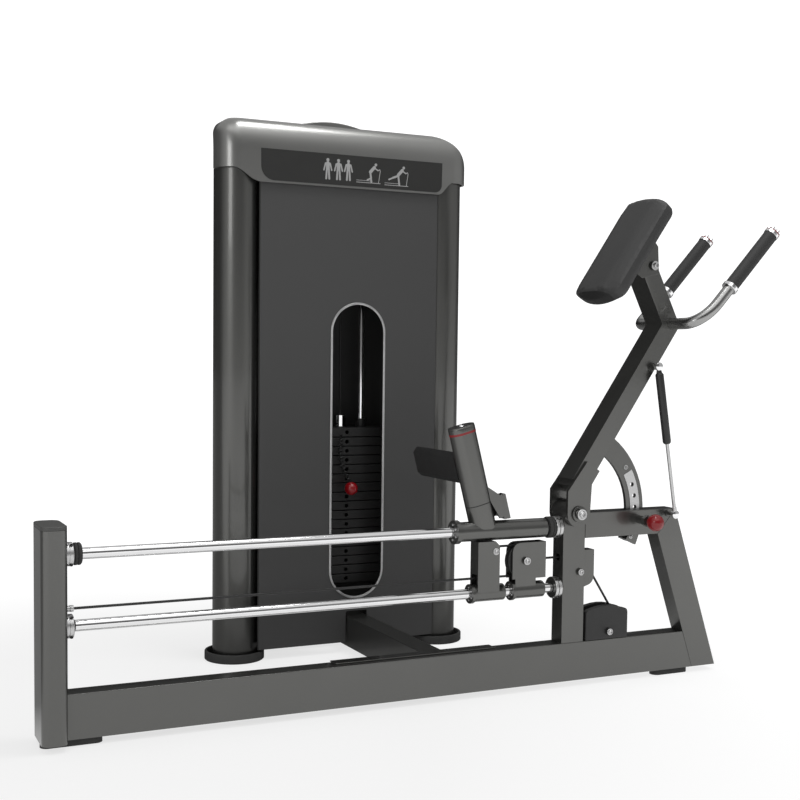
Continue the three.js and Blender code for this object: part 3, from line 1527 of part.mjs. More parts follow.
function armOutline(inset, lowEnd, topEnd) {
  const half = armThick / 2 - inset;
  const miter = Math.tan(upperArmTurn / 2) * half;
  const along = (distance, side) => [
    armKink + Math.cos(upperArmTurn) * distance - Math.sin(upperArmTurn) * side,
    armOffset + Math.sin(upperArmTurn) * distance + Math.cos(upperArmTurn) * side,
  ];
  return outlineOf([
    [lowEnd, armOffset - half], [armKink + miter, armOffset - half],
    along(topEnd, -half), along(topEnd, half),
    [armKink - miter, armOffset + half], [lowEnd, armOffset + half],
  ]);
}

function buildArm() {
  const half = armWide / 2;
  const outer = slabXZ(armOutline(0, armStart, upperArmLength), -half, half);
  const inner = slabXZ(
    armOutline(tubeWall, armStart + cheekSheet, upperArmLength + overrun), -half + tubeWall, half - tubeWall);
  const cheekShape = new THREE.Shape();
  cheekShape.moveTo(cheekRound * Math.cos(armAngle), -cheekRound * Math.sin(armAngle));
  cheekShape.absarc(0, 0, cheekRound, -armAngle, -armAngle - Math.PI, true);
  cheekShape.lineTo(cheekShoulderStart, cheekShoulder);
  cheekShape.lineTo(cheekEnd, cheekHigh);
  cheekShape.lineTo(cheekEnd, cheekLow);
  cheekShape.lineTo(cheekWaist, cheekLow);
  const cheeks = [-1, 1].map((side) => {
    const far = side * cheekOuter;
    const near = far - side * (cheekSheet + seat);
    return slabXZ(cheekShape, Math.min(near, far), Math.max(near, far), 8);
  });
  const web = bar(
    webStart, webEnd + cheekSheet, -cheekOuter + cheekSheet / 2, cheekOuter - cheekSheet / 2, webLow, cheekHigh);
  const pivotBore = rodY(-cheekOuter - overrun, cheekOuter + overrun, 0, 0, pivotShaftRadius + slideGap);
  const bushRoom = rodY(-bushLength / 2 - seat, bushLength / 2 + seat, 0, 0, bushRadius + bushGap);
  const barBore = rodY(-half - overrun, half + overrun, crossBarAlong, crossBarOffset, handleRadius + seat);
  const boltBore = rodY(-half - overrun, half + overrun, padBoltAlong, padBoltOffset, axleRadius + seat, smallSides);
  const studFoot = rodY(
    -half - popNutHeight / 2, -half + tubeWall / 2, strutTopAlong, strutTopOffset, studWasherRadius, smallSides);
  const stud = rodY(
    strutPlane + strutEyeWidth / 2 + seat, -half, strutTopAlong, strutTopOffset, studRadius, smallSides);
  addPiece(arm, 'chest_arm', cut(
    join(cut(outer, inner), ...cheeks, web, studFoot, stud), pivotBore, bushRoom, barBore, boltBore), graphite);
}

// Pad bracket: two side plates bolted to the arm's end, with the plate that carries the pad
function buildPadBracket() {
  const back = padFaceOffset - padThickness - seat;
  const inner = armWide / 2 + seat;
  const side = outlineOf([
    [bracketToe, back], [bracketToe, back - bracketToeDepth], [bracketHeel, back - bracketHeelDepth],
    [bracketRise, back - bracketRiseDepth], [bracketRise + bracketPlate * 2, back],
  ]);
  const plates = [-1, 1].map((sign) => {
    const near = sign * inner;
    const far = near + sign * bracketPlate;
    return slabXZ(side, Math.min(near, far), Math.max(near, far));
  });
  const mount = bar(
    padAlong - mountPlateLength / 2, padAlong + mountPlateLength / 2,
    -mountPlateWidth / 2, mountPlateWidth / 2, back - bracketPlate, back,
  );
  const bolt = boltAlongY(padBoltAlong, padBoltOffset, -inner - bracketPlate, inner + bracketPlate);
  addPiece(arm, 'pad_bracket', join(mount, ...plates, bolt), graphite);
}

// Chest pad: crowned face, wide chamfer and sides drawn in towards the back
function padRing(length, width, corner, height) {
  const points = [];
  const perCorner = padSides / 4;
  for (let q = 0; q < 4; q += 1) {
    const sx = q === 0 || q === 3 ? 1 : -1;
    const sy = q < 2 ? 1 : -1;
    for (let i = 0; i < perCorner; i += 1) {
      const angle = (q + i / (perCorner - 1)) * Math.PI / 2;
      points.push(new THREE.Vector3(
        padAlong + sx * (length / 2 - corner) + corner * Math.cos(angle),
        sy * (width / 2 - corner) + corner * Math.sin(angle),
        height,
      ));
    }
  }
  return points;
}

function crownRing(share, rise) {
  return padRing(
    padFaceLength * share, padFaceWidth * share, padFaceCorner * share, padFaceOffset + padCrown * rise);
}

function buildChestPad() {
  const face = padFaceOffset;
  const edge = face - padChamferDepth;
  const back = face - padThickness;
  const fullness = padCrown / 2;
  const rings = [
    crownRing(padInnerShare, padInnerRise),
    crownRing(padOuterShare, padOuterRise),
    padRing(padFaceLength, padFaceWidth, padFaceCorner, face),
    padRing(
      (padFaceLength + padLength) / 2, (padFaceWidth + padWidth) / 2, (padFaceCorner + padCorner) / 2,
      (face + edge) / 2 + fullness),
    padRing(padLength, padWidth, padCorner, edge),
    padRing(padLength + fullness, padWidth + fullness, padCorner, edge - padChamferDepth / 2),
    padRing(padLength - fullness, padWidth - fullness, padCorner, back + padChamferDepth / 2),
    padRing(padLength - padChamferDepth, padWidth - padChamferDepth, padCorner - padCrown, back),
  ];
  const positions = rings.flat().flatMap((p) => [p.x, p.y, p.z]);
  const indices = [];
  for (let r = 0; r < rings.length - 1; r += 1) {
    for (let k = 0; k < padSides; k += 1) {
      const a = r * padSides + k;
      const b = r * padSides + (k + 1) % padSides;
      indices.push(a, a + padSides, b + padSides, a, b + padSides, b);
    }
  }
  const ends = [[0, face + padCrown, 1], [rings.length - 1, back, -1]];
  for (const [ring, height, sign] of ends) {
    const centre = positions.length / 3;
    positions.push(padAlong, 0, height);
    for (let k = 0; k < padSides; k += 1) {
      const a = ring * padSides + k;
      const b = ring * padSides + (k + 1) % padSides;
      indices.push(...(sign > 0 ? [centre, a, b] : [centre, b, a]));
    }
  }
  const geometry = new THREE.BufferGeometry();
  geometry.setAttribute('position', new THREE.Float32BufferAttribute(positions, 3));
  geometry.setIndex(indices);
  geometry.computeVertexNormals();
  addPiece(arm, 'chest_pad', geometry, upholstery);
}

// Handles: one bent tube through the arm, with collars, end caps and foam grips
function handleSide(side) {
  const run = new THREE.Vector3(Math.cos(handleTilt), 0, -Math.sin(handleTilt));
  const bendEnd = new THREE.Vector3(handleBendAlong, side * handleSpread, handleBendOffset);
  const cross = new THREE.Vector3(crossBarAlong, side * (handleSpread - handleBend), crossBarOffset);
  const bend = new THREE.CubicBezierCurve3(
    cross,
    cross.clone().addScaledVector(axisY, side * handleBendPull),
    bendEnd.clone().addScaledVector(run, -handleBend),
    bendEnd,
  );
  return { run, bendEnd, bend };
}

function buildHandles() {
  const near = handleSide(-1);
  const far = handleSide(1);
  const tipNear = near.bendEnd.clone().addScaledVector(near.run, handleReach);
  const tipFar = far.bendEnd.clone().addScaledVector(far.run, handleReach);
  const tube = tubeAlong(
    [tipNear, ...near.bend.getPoints(6).reverse(), ...far.bend.getPoints(6), tipFar], handleRadius, 10);
  const rings = [near, far].flatMap(({ run, bendEnd }) => {
    const at = (distance) => bendEnd.clone().addScaledVector(run, distance);
    return [
      rodBetween(at(collarAt), at(collarAt + collarLength), gripRadius + collarGap, roundSides),
      rodBetween(at(handleReach - overrun), at(handleReach + gripCapLength - overrun), gripCapRadius, roundSides),
    ];
  });
  addPiece(arm, 'handle_bar', join(tube, ...rings), chrome);
  const grips = [['left', near], ['right', far]];
  for (const [name, { run, bendEnd }] of grips) {
    const at = (distance) => bendEnd.clone().addScaledVector(run, distance);
    const start = collarAt + collarLength + seat;
    const end = handleReach - overrun - seat;
    const sleeve = rodBetween(at(start), at(end), gripRadius, roundSides);
    const bore = rodBetween(at(start - overrun), at(end + overrun), handleRadius + seat, roundSides);
    addPiece(arm, `${name}_grip`, cut(sleeve, bore), foam);
  }
}

// Range of motion arc under the arm, with its row of holes and the stop lug
function buildArc() {
  const top = arcTopAngle - armAngle + arcTopTuck;
  const bottom = arcBottomAngle - armAngle;
  const shape = new THREE.Shape();
  shape.moveTo(arcOuter * Math.cos(bottom), arcOuter * Math.sin(bottom));
  shape.absarc(0, 0, arcOuter, bottom, top, false);
  shape.absarc(0, 0, arcInner, top, bottom, true);
  const plate = slabXZ(shape, arcNear, arcNear + arcThickness, 9);
  const armSide = bar(
    0, arcOuter + overrun, arcNear - overrun, arcNear + arcThickness + overrun,
    armOffset - armThick / 2 - seat, armOffset,
  );
  const holes = [];
  for (let i = 0; i < arcHoleCount; i += 1) {
    const angle = arcHoleFirst - i * arcHoleStep - armAngle;
    holes.push(rodY(
      arcNear - overrun, arcNear + arcThickness + overrun,
      arcHoleCircle * Math.cos(angle), arcHoleCircle * Math.sin(angle), arcHoleRadius, smallSides,
    ));
  }
  const stop = arcStopAngle - armAngle;
  const middle = arcNear + arcThickness / 2;
  const lug = rodY(
    middle - arcStopWidth / 2, middle + arcStopWidth / 2,
    arcStopCircle * Math.cos(stop), arcStopCircle * Math.sin(stop), arcStopRadius,
  );
  addPiece(arm, 'adjustment_arc', join(cut(plate, armSide, ...holes), lug), graphite);
}

// Gas strut: cylinder with its eye at the arm, rod with its eye at the beam
function buildStrut() {
  const top = new THREE.Vector3(strutTopX, strutPlane, strutTopZ);
  const bottom = new THREE.Vector3(strutBottomX, strutPlane, strutBottomZ);
  const run = new THREE.Vector3().subVectors(bottom, top).normalize();
  const fromTop = (distance) => top.clone().addScaledVector(run, distance);
  const fromBottom = (distance) => bottom.clone().addScaledVector(run, -distance);
  const cylinder = rodBetween(fromTop(strutEyeRadius), fromTop(strutCylinderLength), strutCylinderRadius);
  const neck = rodBetween(fromTop(0), fromTop(strutEyeRadius * 2), strutRodRadius, smallSides);
  const eye = rodY(strutPlane - strutEyeWidth / 2, strutPlane + strutEyeWidth / 2, strutTopX, strutTopZ, strutEyeRadius);
  const chamber = rodBetween(
    fromTop(strutChamberStart), fromTop(strutCylinderLength + overrun), strutRodRadius + slideGap, smallSides);
  addPiece(machine, 'strut_cylinder', cut(join(cylinder, neck, eye), chamber), blackPlastic);
  const rodTop = fromTop(strutCylinderLength - strutOverlap);
  const rod = rodBetween(rodTop, fromBottom(0), strutRodRadius, smallSides);
  const foot = rodBetween(fromBottom(strutFootLength), fromBottom(0), strutFootRadius, smallSides);
  const lowEye = rodY(
    strutPlane - strutEyeWidth / 2, strutPlane + strutEyeWidth / 2, strutBottomX, strutBottomZ, strutEyeRadius);
  addPiece(machine, 'strut_rod', join(rod, foot, lowEye), chrome);
}

// Pop pin that locks the arc: nose, rod and round knob
function buildPopPin() {
  const rod = rodY(popKnobY, arcNear - popPinNose, popPinX, popPinZ, popRodRadius, smallSides);
  const knob = new THREE.SphereGeometry(popKnobRadius, 12, 8).translate(popPinX, popKnobY, popPinZ);
  addPiece(machine, 'pop_pin', join(rod, knob), knobRed);
}

buildEndPost();
buildRail();
buildFeet();
buildCrossBeam();
buildUpright();
buildPivot();
buildBeamAndLeg();
buildGuideRods();
buildPulleyGuard();
buildBaseCover();
buildColumns();
buildShroud();
buildPanels();
buildTowerFrame();
buildStack();
buildSelectorPin();
buildLanyard();
buildFootCarriage();
buildFootPost();
buildPulleyCarriage();
buildPulleys();
buildCables();
buildArm();
buildPadBracket();
buildChestPad();
buildHandles();
buildArc();
buildStrut();
buildPopPin();

export default machine;
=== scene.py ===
import math

import bmesh
import bpy
from mathutils import Matrix, Vector


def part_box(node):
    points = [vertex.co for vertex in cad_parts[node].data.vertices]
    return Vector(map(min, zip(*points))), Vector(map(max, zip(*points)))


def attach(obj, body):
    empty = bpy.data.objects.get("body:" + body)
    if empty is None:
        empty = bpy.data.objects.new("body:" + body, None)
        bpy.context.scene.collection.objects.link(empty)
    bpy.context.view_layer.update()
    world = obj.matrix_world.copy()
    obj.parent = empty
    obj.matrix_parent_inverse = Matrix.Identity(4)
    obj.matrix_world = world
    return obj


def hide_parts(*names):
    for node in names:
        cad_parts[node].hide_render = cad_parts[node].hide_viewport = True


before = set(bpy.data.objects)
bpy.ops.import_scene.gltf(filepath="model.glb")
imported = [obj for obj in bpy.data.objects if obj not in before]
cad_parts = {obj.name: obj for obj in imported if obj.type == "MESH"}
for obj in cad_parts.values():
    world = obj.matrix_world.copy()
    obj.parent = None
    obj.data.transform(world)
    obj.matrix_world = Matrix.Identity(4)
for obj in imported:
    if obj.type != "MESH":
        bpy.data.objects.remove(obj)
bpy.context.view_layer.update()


# Camera
# Stands 0.84 m above the floor, in front of the machine's left end, and looks back to the right
# and slightly down.
# The lens and the small shifts give the photograph's framing on a square picture.
picture_side = 800
focal_pixels = 1239.121
centre_column = 388.348
centre_row = 432.955
eye = Vector((-0.507164, -2.679908, 0.843867))
yaw = math.radians(25.155)
pitch = math.radians(3.479)
roll = math.radians(0.646)
lens_data = bpy.data.cameras.new("visitor_camera")
lens_data.sensor_width = 36
lens_data.sensor_height = 36
lens_data.lens = focal_pixels * lens_data.sensor_width / picture_side
lens_data.shift_x = (picture_side / 2 - centre_column) / picture_side
lens_data.shift_y = (centre_row - picture_side / 2) / picture_side
lens_data.clip_start = 0.05
lens_data.clip_end = 60
ahead = Vector((math.sin(yaw) * math.cos(pitch), math.cos(yaw) * math.cos(pitch), -math.sin(pitch)))
level = Vector((math.cos(yaw), -math.sin(yaw), 0))
above = level.cross(ahead)
right_hand = level * math.cos(roll) + above * math.sin(roll)
upward = above * math.cos(roll) - level * math.sin(roll)
camera = bpy.data.objects.new("visitor_camera", lens_data)
bpy.context.scene.collection.objects.link(camera)
turned_view = Matrix((right_hand, upward, -ahead)).transposed()
camera.matrix_world = Matrix.Translation(eye) @ turned_view.to_4x4()
bpy.context.scene.camera = camera


# Shader tools
# A Wire is a socket that can be added and multiplied; a Finish is one material and its nodes.
class Wire:
    """A shader socket on which sums add their Math nodes."""

    def __init__(self, finish, socket):
        self.finish = finish
        self.socket = socket

    def sum_with(self, operation, first, second):
        return self.finish.node("ShaderNodeMath", {"operation": operation}, {0: first, 1: second})

    def __add__(self, other):
        return self.sum_with("ADD", self, other)

    def __radd__(self, other):
        return self.sum_with("ADD", other, self)

    def __sub__(self, other):
        return self.sum_with("SUBTRACT", self, other)

    def __rsub__(self, other):
        return self.sum_with("SUBTRACT", other, self)

    def __mul__(self, other):
        return self.sum_with("MULTIPLY", self, other)

    def __rmul__(self, other):
        return self.sum_with("MULTIPLY", other, self)


class Finish:
    """One node tree, and the one way that a node gets into it."""

    def __init__(self, tree):
        self.tree = tree
        self.tree.nodes.clear()

    def node(self, kind, settings=None, sockets=None, output=0):
        """Stops of a ramp are greys, listed from left to right."""
        made = self.tree.nodes.new(kind)
        for name, value in (settings or {}).items():
            if name == "stops":
                stops = made.color_ramp.elements
                for place, level in value[2:]:
                    stops.new(place)
                for stop, (place, level) in zip(stops, value):
                    stop.position = place
                    stop.color = (level, level, level, 1)
            else:
                setattr(made, name, value)
        for name, value in (sockets or {}).items():
            if isinstance(value, Wire):
                self.tree.links.new(value.socket, made.inputs[name])
            else:
                made.inputs[name].default_value = value
        return Wire(self, made.outputs[output]) if made.outputs else made

    def place(self):
        return self.node("ShaderNodeTexCoord", output=3)

    def axis(self, where, number):
        return self.node("ShaderNodeSeparateXYZ", None, {0: where}, output=number)

    def ray(self, kind):
        """1 on rays of one kind, 0 on all others."""
        return self.node("ShaderNodeLightPath", output={"camera": 0, "diffuse": 2, "glossy": 3}[kind])

    def ramp(self, share, *stops):
        return self.node("ShaderNodeValToRGB", {"stops": stops}, {0: share})

    def noise(self, scale, detail=3.0):
        return self.node(
            "ShaderNodeTexNoise", None,
            {"Vector": self.place(), "Scale": scale, "Detail": detail, "Roughness": 0.55})

    def between(self, low, high, share):
        return self.node(
            "ShaderNodeMix", {"data_type": "RGBA"}, {0: share, 6: (*low, 1), 7: (*high, 1)}, output=2)

    def bump(self, height, depth, strength=1.0):
        return self.node(
            "ShaderNodeBump", None, {"Height": height, "Distance": depth, "Strength": strength})


def grey(level):
    return (level, level, level)


def shaded(name, **sockets):
    """A material with a Principled shader; each keyword is a socket, with _ for a space."""
    material = bpy.data.materials.new(name)
    material.use_nodes = True
    finish = Finish(material.node_tree)
    values = {key.replace("_", " "): value for key, value in sockets.items()}
    made = {key: value(finish) if callable(value) else value for key, value in values.items()}
    surface = finish.node("ShaderNodeBsdfPrincipled", None, made)
    finish.node("ShaderNodeOutputMaterial", None, {"Surface": surface})
    return material


def mottled(name, dark, light, patches, least_rough, rough_span, grain, **sockets):
    """A material that drifts between two tones in patches, and in roughness in a finer grain."""
    return shaded(
        name,
        Base_Color=lambda f: f.between(dark, light, f.noise(patches)),
        Roughness=lambda f: least_rough + rough_span * f.noise(grain),
        **sockets,
    )


# Studio
# A pale floor that runs out into a white backdrop, and a tent of soft light with bright and dark
# panels. Mirrored rays find the floor behind the machine dark, so that left flanks stay deep.
diffuse_loss = 0.55
mirror_loss = 0.92
floor_half = 40


def floor_glow(finish):
    """How brightly the floor glows: less on diffuse rays, hardly at all for mirrors behind y 0."""
    depth = finish.axis(finish.place(), 1)
    behind = finish.node("ShaderNodeClamp", None, {0: depth * 3.0})
    diffuse = finish.ray("diffuse")
    glossy = finish.ray("glossy")
    return (1.0 - diffuse_loss * diffuse) * (1.0 - mirror_loss * (behind * glossy))


def floor_tone_painted_shade(finish):
    """Painted shade: pale grey round the origin at the machine's left end, white from 3.2 m on."""
    distance = finish.node("ShaderNodeVectorMath", {"operation": "LENGTH"}, {0: finish.place()}, output=1)
    return finish.ramp(distance * 0.1, (0.08, 0.70), (0.32, 1.0))


floor_paint = shaded(
    "studio_floor",
    Base_Color=lambda f: f.between(grey(0.30), grey(0.32), f.noise(0.7)),
    Roughness=0.9,
    Specular_IOR_Level=0.0,
    # The floor's glow dims towards the machine as a painted shadow.
    Emission_Color=lambda f: floor_tone_painted_shade(f) * floor_glow(f),
    Emission_Strength=1.0,
)
floor_shape = bmesh.new()
bmesh.ops.create_grid(floor_shape, x_segments=4, y_segments=4, size=floor_half)
floor_mesh = bpy.data.meshes.new("studio_floor")
floor_shape.to_mesh(floor_mesh)
floor_shape.free()
floor_mesh.materials.append(floor_paint)
floor = bpy.data.objects.new("studio_floor", floor_mesh)
bpy.context.scene.collection.objects.link(floor)

world = bpy.data.worlds.new("studio_light")
world.use_nodes = True
bpy.context.scene.world = world
sky = Finish(world.node_tree)
direction = sky.node("ShaderNodeTexCoord", output=0)
bearing = sky.node(
    "ShaderNodeMath", {"operation": "ARCTAN2"}, {0: sky.axis(direction, 0), 1: 0 - sky.axis(direction, 1)})
height_share = 0.5 + 0.5 * sky.axis(direction, 2)
turn_share = 0.5 + bearing * (0.5 / math.pi)
soft_wall = sky.ramp(
    turn_share, (0.0, 0.015), (0.22, 0.02), (0.29, 0.40), (0.37, 0.40), (0.43, 0.10), (0.55, 0.12),
    (0.60, 0.40), (0.72, 0.40), (0.80, 0.06), (1.0, 0.015))
overhead = sky.ramp(height_share, (0.70, 0.0), (0.85, 1.0))
light_tent = sky.node(
    "ShaderNodeMix", {"data_type": "RGBA"}, {0: overhead, 6: soft_wall, 7: (*grey(0.62), 1)}, output=2)
crest_height = sky.ramp(height_share, (0.78, 0.0), (0.85, 1.0), (0.92, 1.0), (0.97, 0.0))
crest_side = sky.ramp(turn_share, (0.30, 0.0), (0.36, 1.0), (0.53, 1.0), (0.60, 0.06))
tent_level = 1.0 + 2.0 * (crest_height * crest_side * sky.ray("glossy"))
shown = sky.node("ShaderNodeBackground", None, {"Color": (*grey(1), 1), "Strength": 1.2})
lit = sky.node("ShaderNodeBackground", None, {"Color": light_tent, "Strength": tent_level})
surroundings = sky.node("ShaderNodeMixShader", None, {0: sky.ray("camera"), 1: lit, 2: shown})
sky.node("ShaderNodeOutputWorld", None, {0: surroundings})

lamps = [
    ("front_lamp", (-2.9, -2.7, 2.3), (0.6, 0.3, 0.8), 1.5, 1.5, 26),
    ("crest_lamp", (1.30, -0.35, 4.0), (0.75, 0.55, 1.46), 1.0, 0.8, 27),
]
for lamp_name, stand, aim, width, height, power in lamps:
    lamp = bpy.data.lights.new(lamp_name, "AREA")
    lamp.shape = "RECTANGLE"
    lamp.size = width
    lamp.size_y = height
    lamp.energy = power
    lamp_object = bpy.data.objects.new(lamp_name, lamp)
    lamp_object.location = stand
    lamp_object.rotation_euler = (Vector(aim) - Vector(stand)).to_track_quat("-Z", "Y").to_euler()
    bpy.context.scene.collection.objects.link(lamp_object)
bpy.context.scene.view_settings.view_transform = "Standard"


# Base rail, cross-beam, upright, top beam and sloping leg
# Square and rectangular steel tubes with rolled corners, welded together and sprayed in a
# graphite paint with fine metal flake.
def flake(finish):
    return finish.noise(1400, 1.0)


graphite = shaded(
    "graphite_paint",
    Base_Color=lambda f: f.between(
        (0.108, 0.108, 0.103), (0.142, 0.142, 0.136), 0.6 * flake(f) + 0.4 * f.noise(5)),
    Metallic=0.88,
    Roughness=lambda f: 0.24 + 0.10 * flake(f) + 0.05 * f.noise(9),
    Coat_Weight=0.5,
    Coat_Roughness=0.07,
    Normal=lambda f: f.bump(flake(f), 0.00004),
)


def piece(name, shape, material, body, stands_for=(), crease=38):
    """Turns a bmesh into a finished piece that rides on a body."""
    mesh = bpy.data.meshes.new(name)
    shape.to_mesh(mesh)
    shape.free()
    mesh.shade_smooth()
    mesh.set_sharp_from_angle(angle=math.radians(crease))
    mesh.materials.append(material)
    made = bpy.data.objects.new(name, mesh)
    bpy.context.scene.collection.objects.link(made)
    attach(made, body)
    if stands_for:
        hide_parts(*stands_for)
    return made


def rounded(shape, edges, width, steps, clamp=False):
    """Rolls some edges of a bmesh round."""
    bmesh.ops.bevel(
        shape, geom=edges, offset=width, offset_type="OFFSET", affect="EDGES", segments=steps,
        profile=0.5, material=-1, clamp_overlap=clamp)


def broken_edges(node, corner=0.004, edge=0.0007, long=0.07, steps=3):
    """A copy of a CAD node's mesh: long outer edges rolled round, the others just broken."""
    shape = bmesh.new()
    shape.from_mesh(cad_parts[node].data)
    bmesh.ops.remove_doubles(shape, verts=shape.verts, dist=0.00003)
    bmesh.ops.dissolve_limit(shape, angle_limit=math.radians(1.5), verts=shape.verts, edges=shape.edges)

    def outer(least):
        return [
            e for e in shape.edges
            if e.is_manifold and e.is_convex and e.calc_face_angle() > math.radians(50)
            and e.calc_length() >= least
        ]

    if corner:
        rounded(shape, outer(long), corner, steps, clamp=True)
    if edge:
        rounded(shape, outer(edge * 3), edge, 2, clamp=True)
    return shape


def weighted(made):
    """Large flats keep a flat shine next to their rolled corners."""
    even = made.modifiers.new("flat_shine", "WEIGHTED_NORMAL")
    even.keep_sharp = True
    return made


def dressed(name, node, material, body, slot, *edges):
    """A CAD node's piece with broken edges; edges are the widths that broken_edges takes."""
    return weighted(piece(name, broken_edges(node, *edges), material, body, [node]))


def arc(centre, radius, start, end, steps):
    """Points on an arc, both ends included, in degrees."""
    angles = [math.radians(start + (end - start) * i / steps) for i in range(steps + 1)]
    return [(centre[0] + radius * math.cos(a), centre[1] + radius * math.sin(a)) for a in angles]


def prism(points, low, high):
    """A plan outline pulled up from low to high."""
    block = bmesh.new()
    base = block.faces.new([block.verts.new((x, y, low)) for x, y in points])
    grown = bmesh.ops.extrude_face_region(block, geom=[base])
    raised = [v for v in grown["geom"] if isinstance(v, bmesh.types.BMVert)]
    bmesh.ops.translate(block, vec=(0, 0, high - low), verts=raised)
    bmesh.ops.recalc_face_normals(block, faces=block.faces)
    return block


tubes = {"base_rail": 0.005, "cross_beam": 0.005, "upright": 0.006, "top_beam": 0.005, "rear_leg": 0.005}
for node, corner in tubes.items():
    dressed(f"{node}_tube", node, graphite, "base", "graphite", corner)


# End post and its cap
# A tube with well-rounded corners on the rail's end, closed by a moulded grey cap that shows a
# thin seam line below its edge.
post_foot, post_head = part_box("end_post")[0][2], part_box("end_post")[1][2]
post_left = -0.0707
post_right = -0.0147
post_half_depth = 0.060
post_rise = 0.003
post_corner = 0.020
seam_low = post_head + post_rise
seam_high = seam_low + 0.0008
cap_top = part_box("end_post_cap")[1][2] + post_rise


def post_plan(inset):
    """The tube's rounded outline, drawn in by inset."""
    radius = post_corner - inset
    left, right = post_left + inset + radius, post_right - inset - radius
    near, far = inset - post_half_depth + radius, post_half_depth - inset - radius
    corners = [((right, far), 0), ((left, far), 90), ((left, near), 180), ((right, near), 270)]
    return [point for centre, start in corners for point in arc(centre, radius, start, start + 90, 8)]


grey_plastic = mottled("grey_plastic", (0.085, 0.085, 0.082), (0.110, 0.110, 0.106), 60, 0.42, 0.12, 80)
post_tube = prism(post_plan(0), post_foot, seam_low)
weighted(piece("end_post_tube", post_tube, graphite, "base", ["end_post"]))
piece("post_cap_seam", prism(post_plan(0.001), seam_low, seam_high), grey_plastic, "base")
post_cap = prism(post_plan(0), seam_high, cap_top)
crown_edge = [e for e in post_cap.edges if all(v.co.z > cap_top - 0.0001 for v in e.verts)]
rounded(post_cap, crown_edge, 0.0022, 3)
weighted(piece("post_cap", post_cap, grey_plastic, "base", ["end_post_cap"]))


# Rail cover and rubber feet
# A folded strip hides the corner pulley, and rubber pads under the tubes stand on the floor.
black_plastic = mottled(
    "black_plastic", grey(0.018), grey(0.030), 40, 0.36, 0.12, 60,
    Normal=lambda f: f.bump(f.noise(900), 0.00005))
rubber = mottled(
    "black_rubber", grey(0.030), (0.052, 0.052, 0.050), 30, 0.62, 0.2, 80,
    Normal=lambda f: f.bump(f.noise(600), 0.0001))
dressed("cover_strip", "rail_cover", graphite, "base", "graphite", 0.001, 0.0004)
for node in ("end_foot", "leg_foot"):
    dressed(f"{node}_pad", node, rubber, "base", "rubber", 0.003, 0)


# Guide rods and their stops
# Two hard-chromed rods on which the carriages slide, each in a clamp ring at both ends, with
# thick rubber buffers on the upper one.
along_x, along_y, along_z = (1, 0, 0), (0, 1, 0), (0, 0, 1)
to_the_left = (-1, 0, 0)
to_the_front = (0, -1, 0)
chrome = mottled("polished_chrome", (0.80, 0.80, 0.81), grey(0.90), 12, 0.05, 0.05, 300, Metallic=1.0)
zinc = mottled("bright_zinc", grey(0.52), grey(0.70), 260, 0.30, 0.14, 320, Metallic=1.0)


def spin_in(shape, profile, at, along, steps=48):
    """Spins a row of (distance, radius) points round an axis into a bmesh."""
    row = [shape.verts.new((radius, 0, distance)) for distance, radius in profile]
    line = [shape.edges.new(pair) for pair in zip(row, row[1:])]
    bmesh.ops.spin(
        shape, geom=row + line, cent=(0, 0, 0), axis=(0, 0, 1), angle=2 * math.pi, steps=steps,
        use_merge=True)
    spun = set(row)
    front = list(row)
    while front:
        vert = front.pop()
        for e in vert.link_edges:
            other = e.other_vert(vert)
            if other not in spun:
                spun.add(other)
                front.append(other)
    turn = Vector(along).to_track_quat("Z", "Y").to_matrix().to_4x4()
    bmesh.ops.transform(shape, matrix=Matrix.Translation(at) @ turn, verts=list(spun))


def settled(shape):
    """Merges poles and doubles, and points every face outwards."""
    bmesh.ops.remove_doubles(shape, verts=shape.verts, dist=0.000001)
    bmesh.ops.recalc_face_normals(shape, faces=shape.faces)
    return shape


def turned(name, profile, at, along, steps, material, body, stands_for=()):
    """A piece spun from one row of (distance, radius) points."""
    shape = bmesh.new()
    spin_in(shape, profile, at, along, steps)
    return piece(name, settled(shape), material, body, stands_for)


def rod_profile(length, radius, chamfer=0.0012):
    return [
        (0, 0), (0, radius - chamfer), (chamfer, radius), (length - chamfer, radius),
        (length, radius - chamfer), (length, 0),
    ]


rod_radius = 0.0125
rod_left = 0.0075
rod_right = 1.2175
upper_height = 0.415
lower_height = 0.2585
cable_height = 0.2966
for name, height in [("upper", upper_height), ("lower", lower_height)]:
    turned(
        f"{name}_rod", rod_profile(rod_right - rod_left, rod_radius), (rod_left, 0, height), along_x, 64,
        chrome, "base", [f"{name}_guide_rod"])
buffer_length = 0.018
for node, start, radius in [("left_bumper", 0.0043, 0.0246), ("right_bumper", 1.1997, 0.0276)]:
    profile = [
        (0, rod_radius), (0, radius - 0.003), (0.003, radius), (buffer_length * 0.42, radius),
        (buffer_length * 0.5, radius - 0.0018), (buffer_length * 0.58, radius),
        (buffer_length - 0.003, radius), (buffer_length, radius - 0.003), (buffer_length, rod_radius),
        (0, rod_radius),
    ]
    turned(f"{node}_ring", profile, (start, 0, upper_height), along_x, 56, rubber, "base", [node])


def screw_in(shape, at, along, head):
    """A socket screw: round head with a chamfer and a hole for the key."""
    profile = [
        (0, 0), (0, head * 0.96), (head * 0.1, head), (head * 0.75, head), (head * 0.95, head * 0.82),
        (head * 0.95, head * 0.5), (head * 0.45, head * 0.45), (head * 0.45, 0),
    ]
    spin_in(shape, profile, at, along, 20)


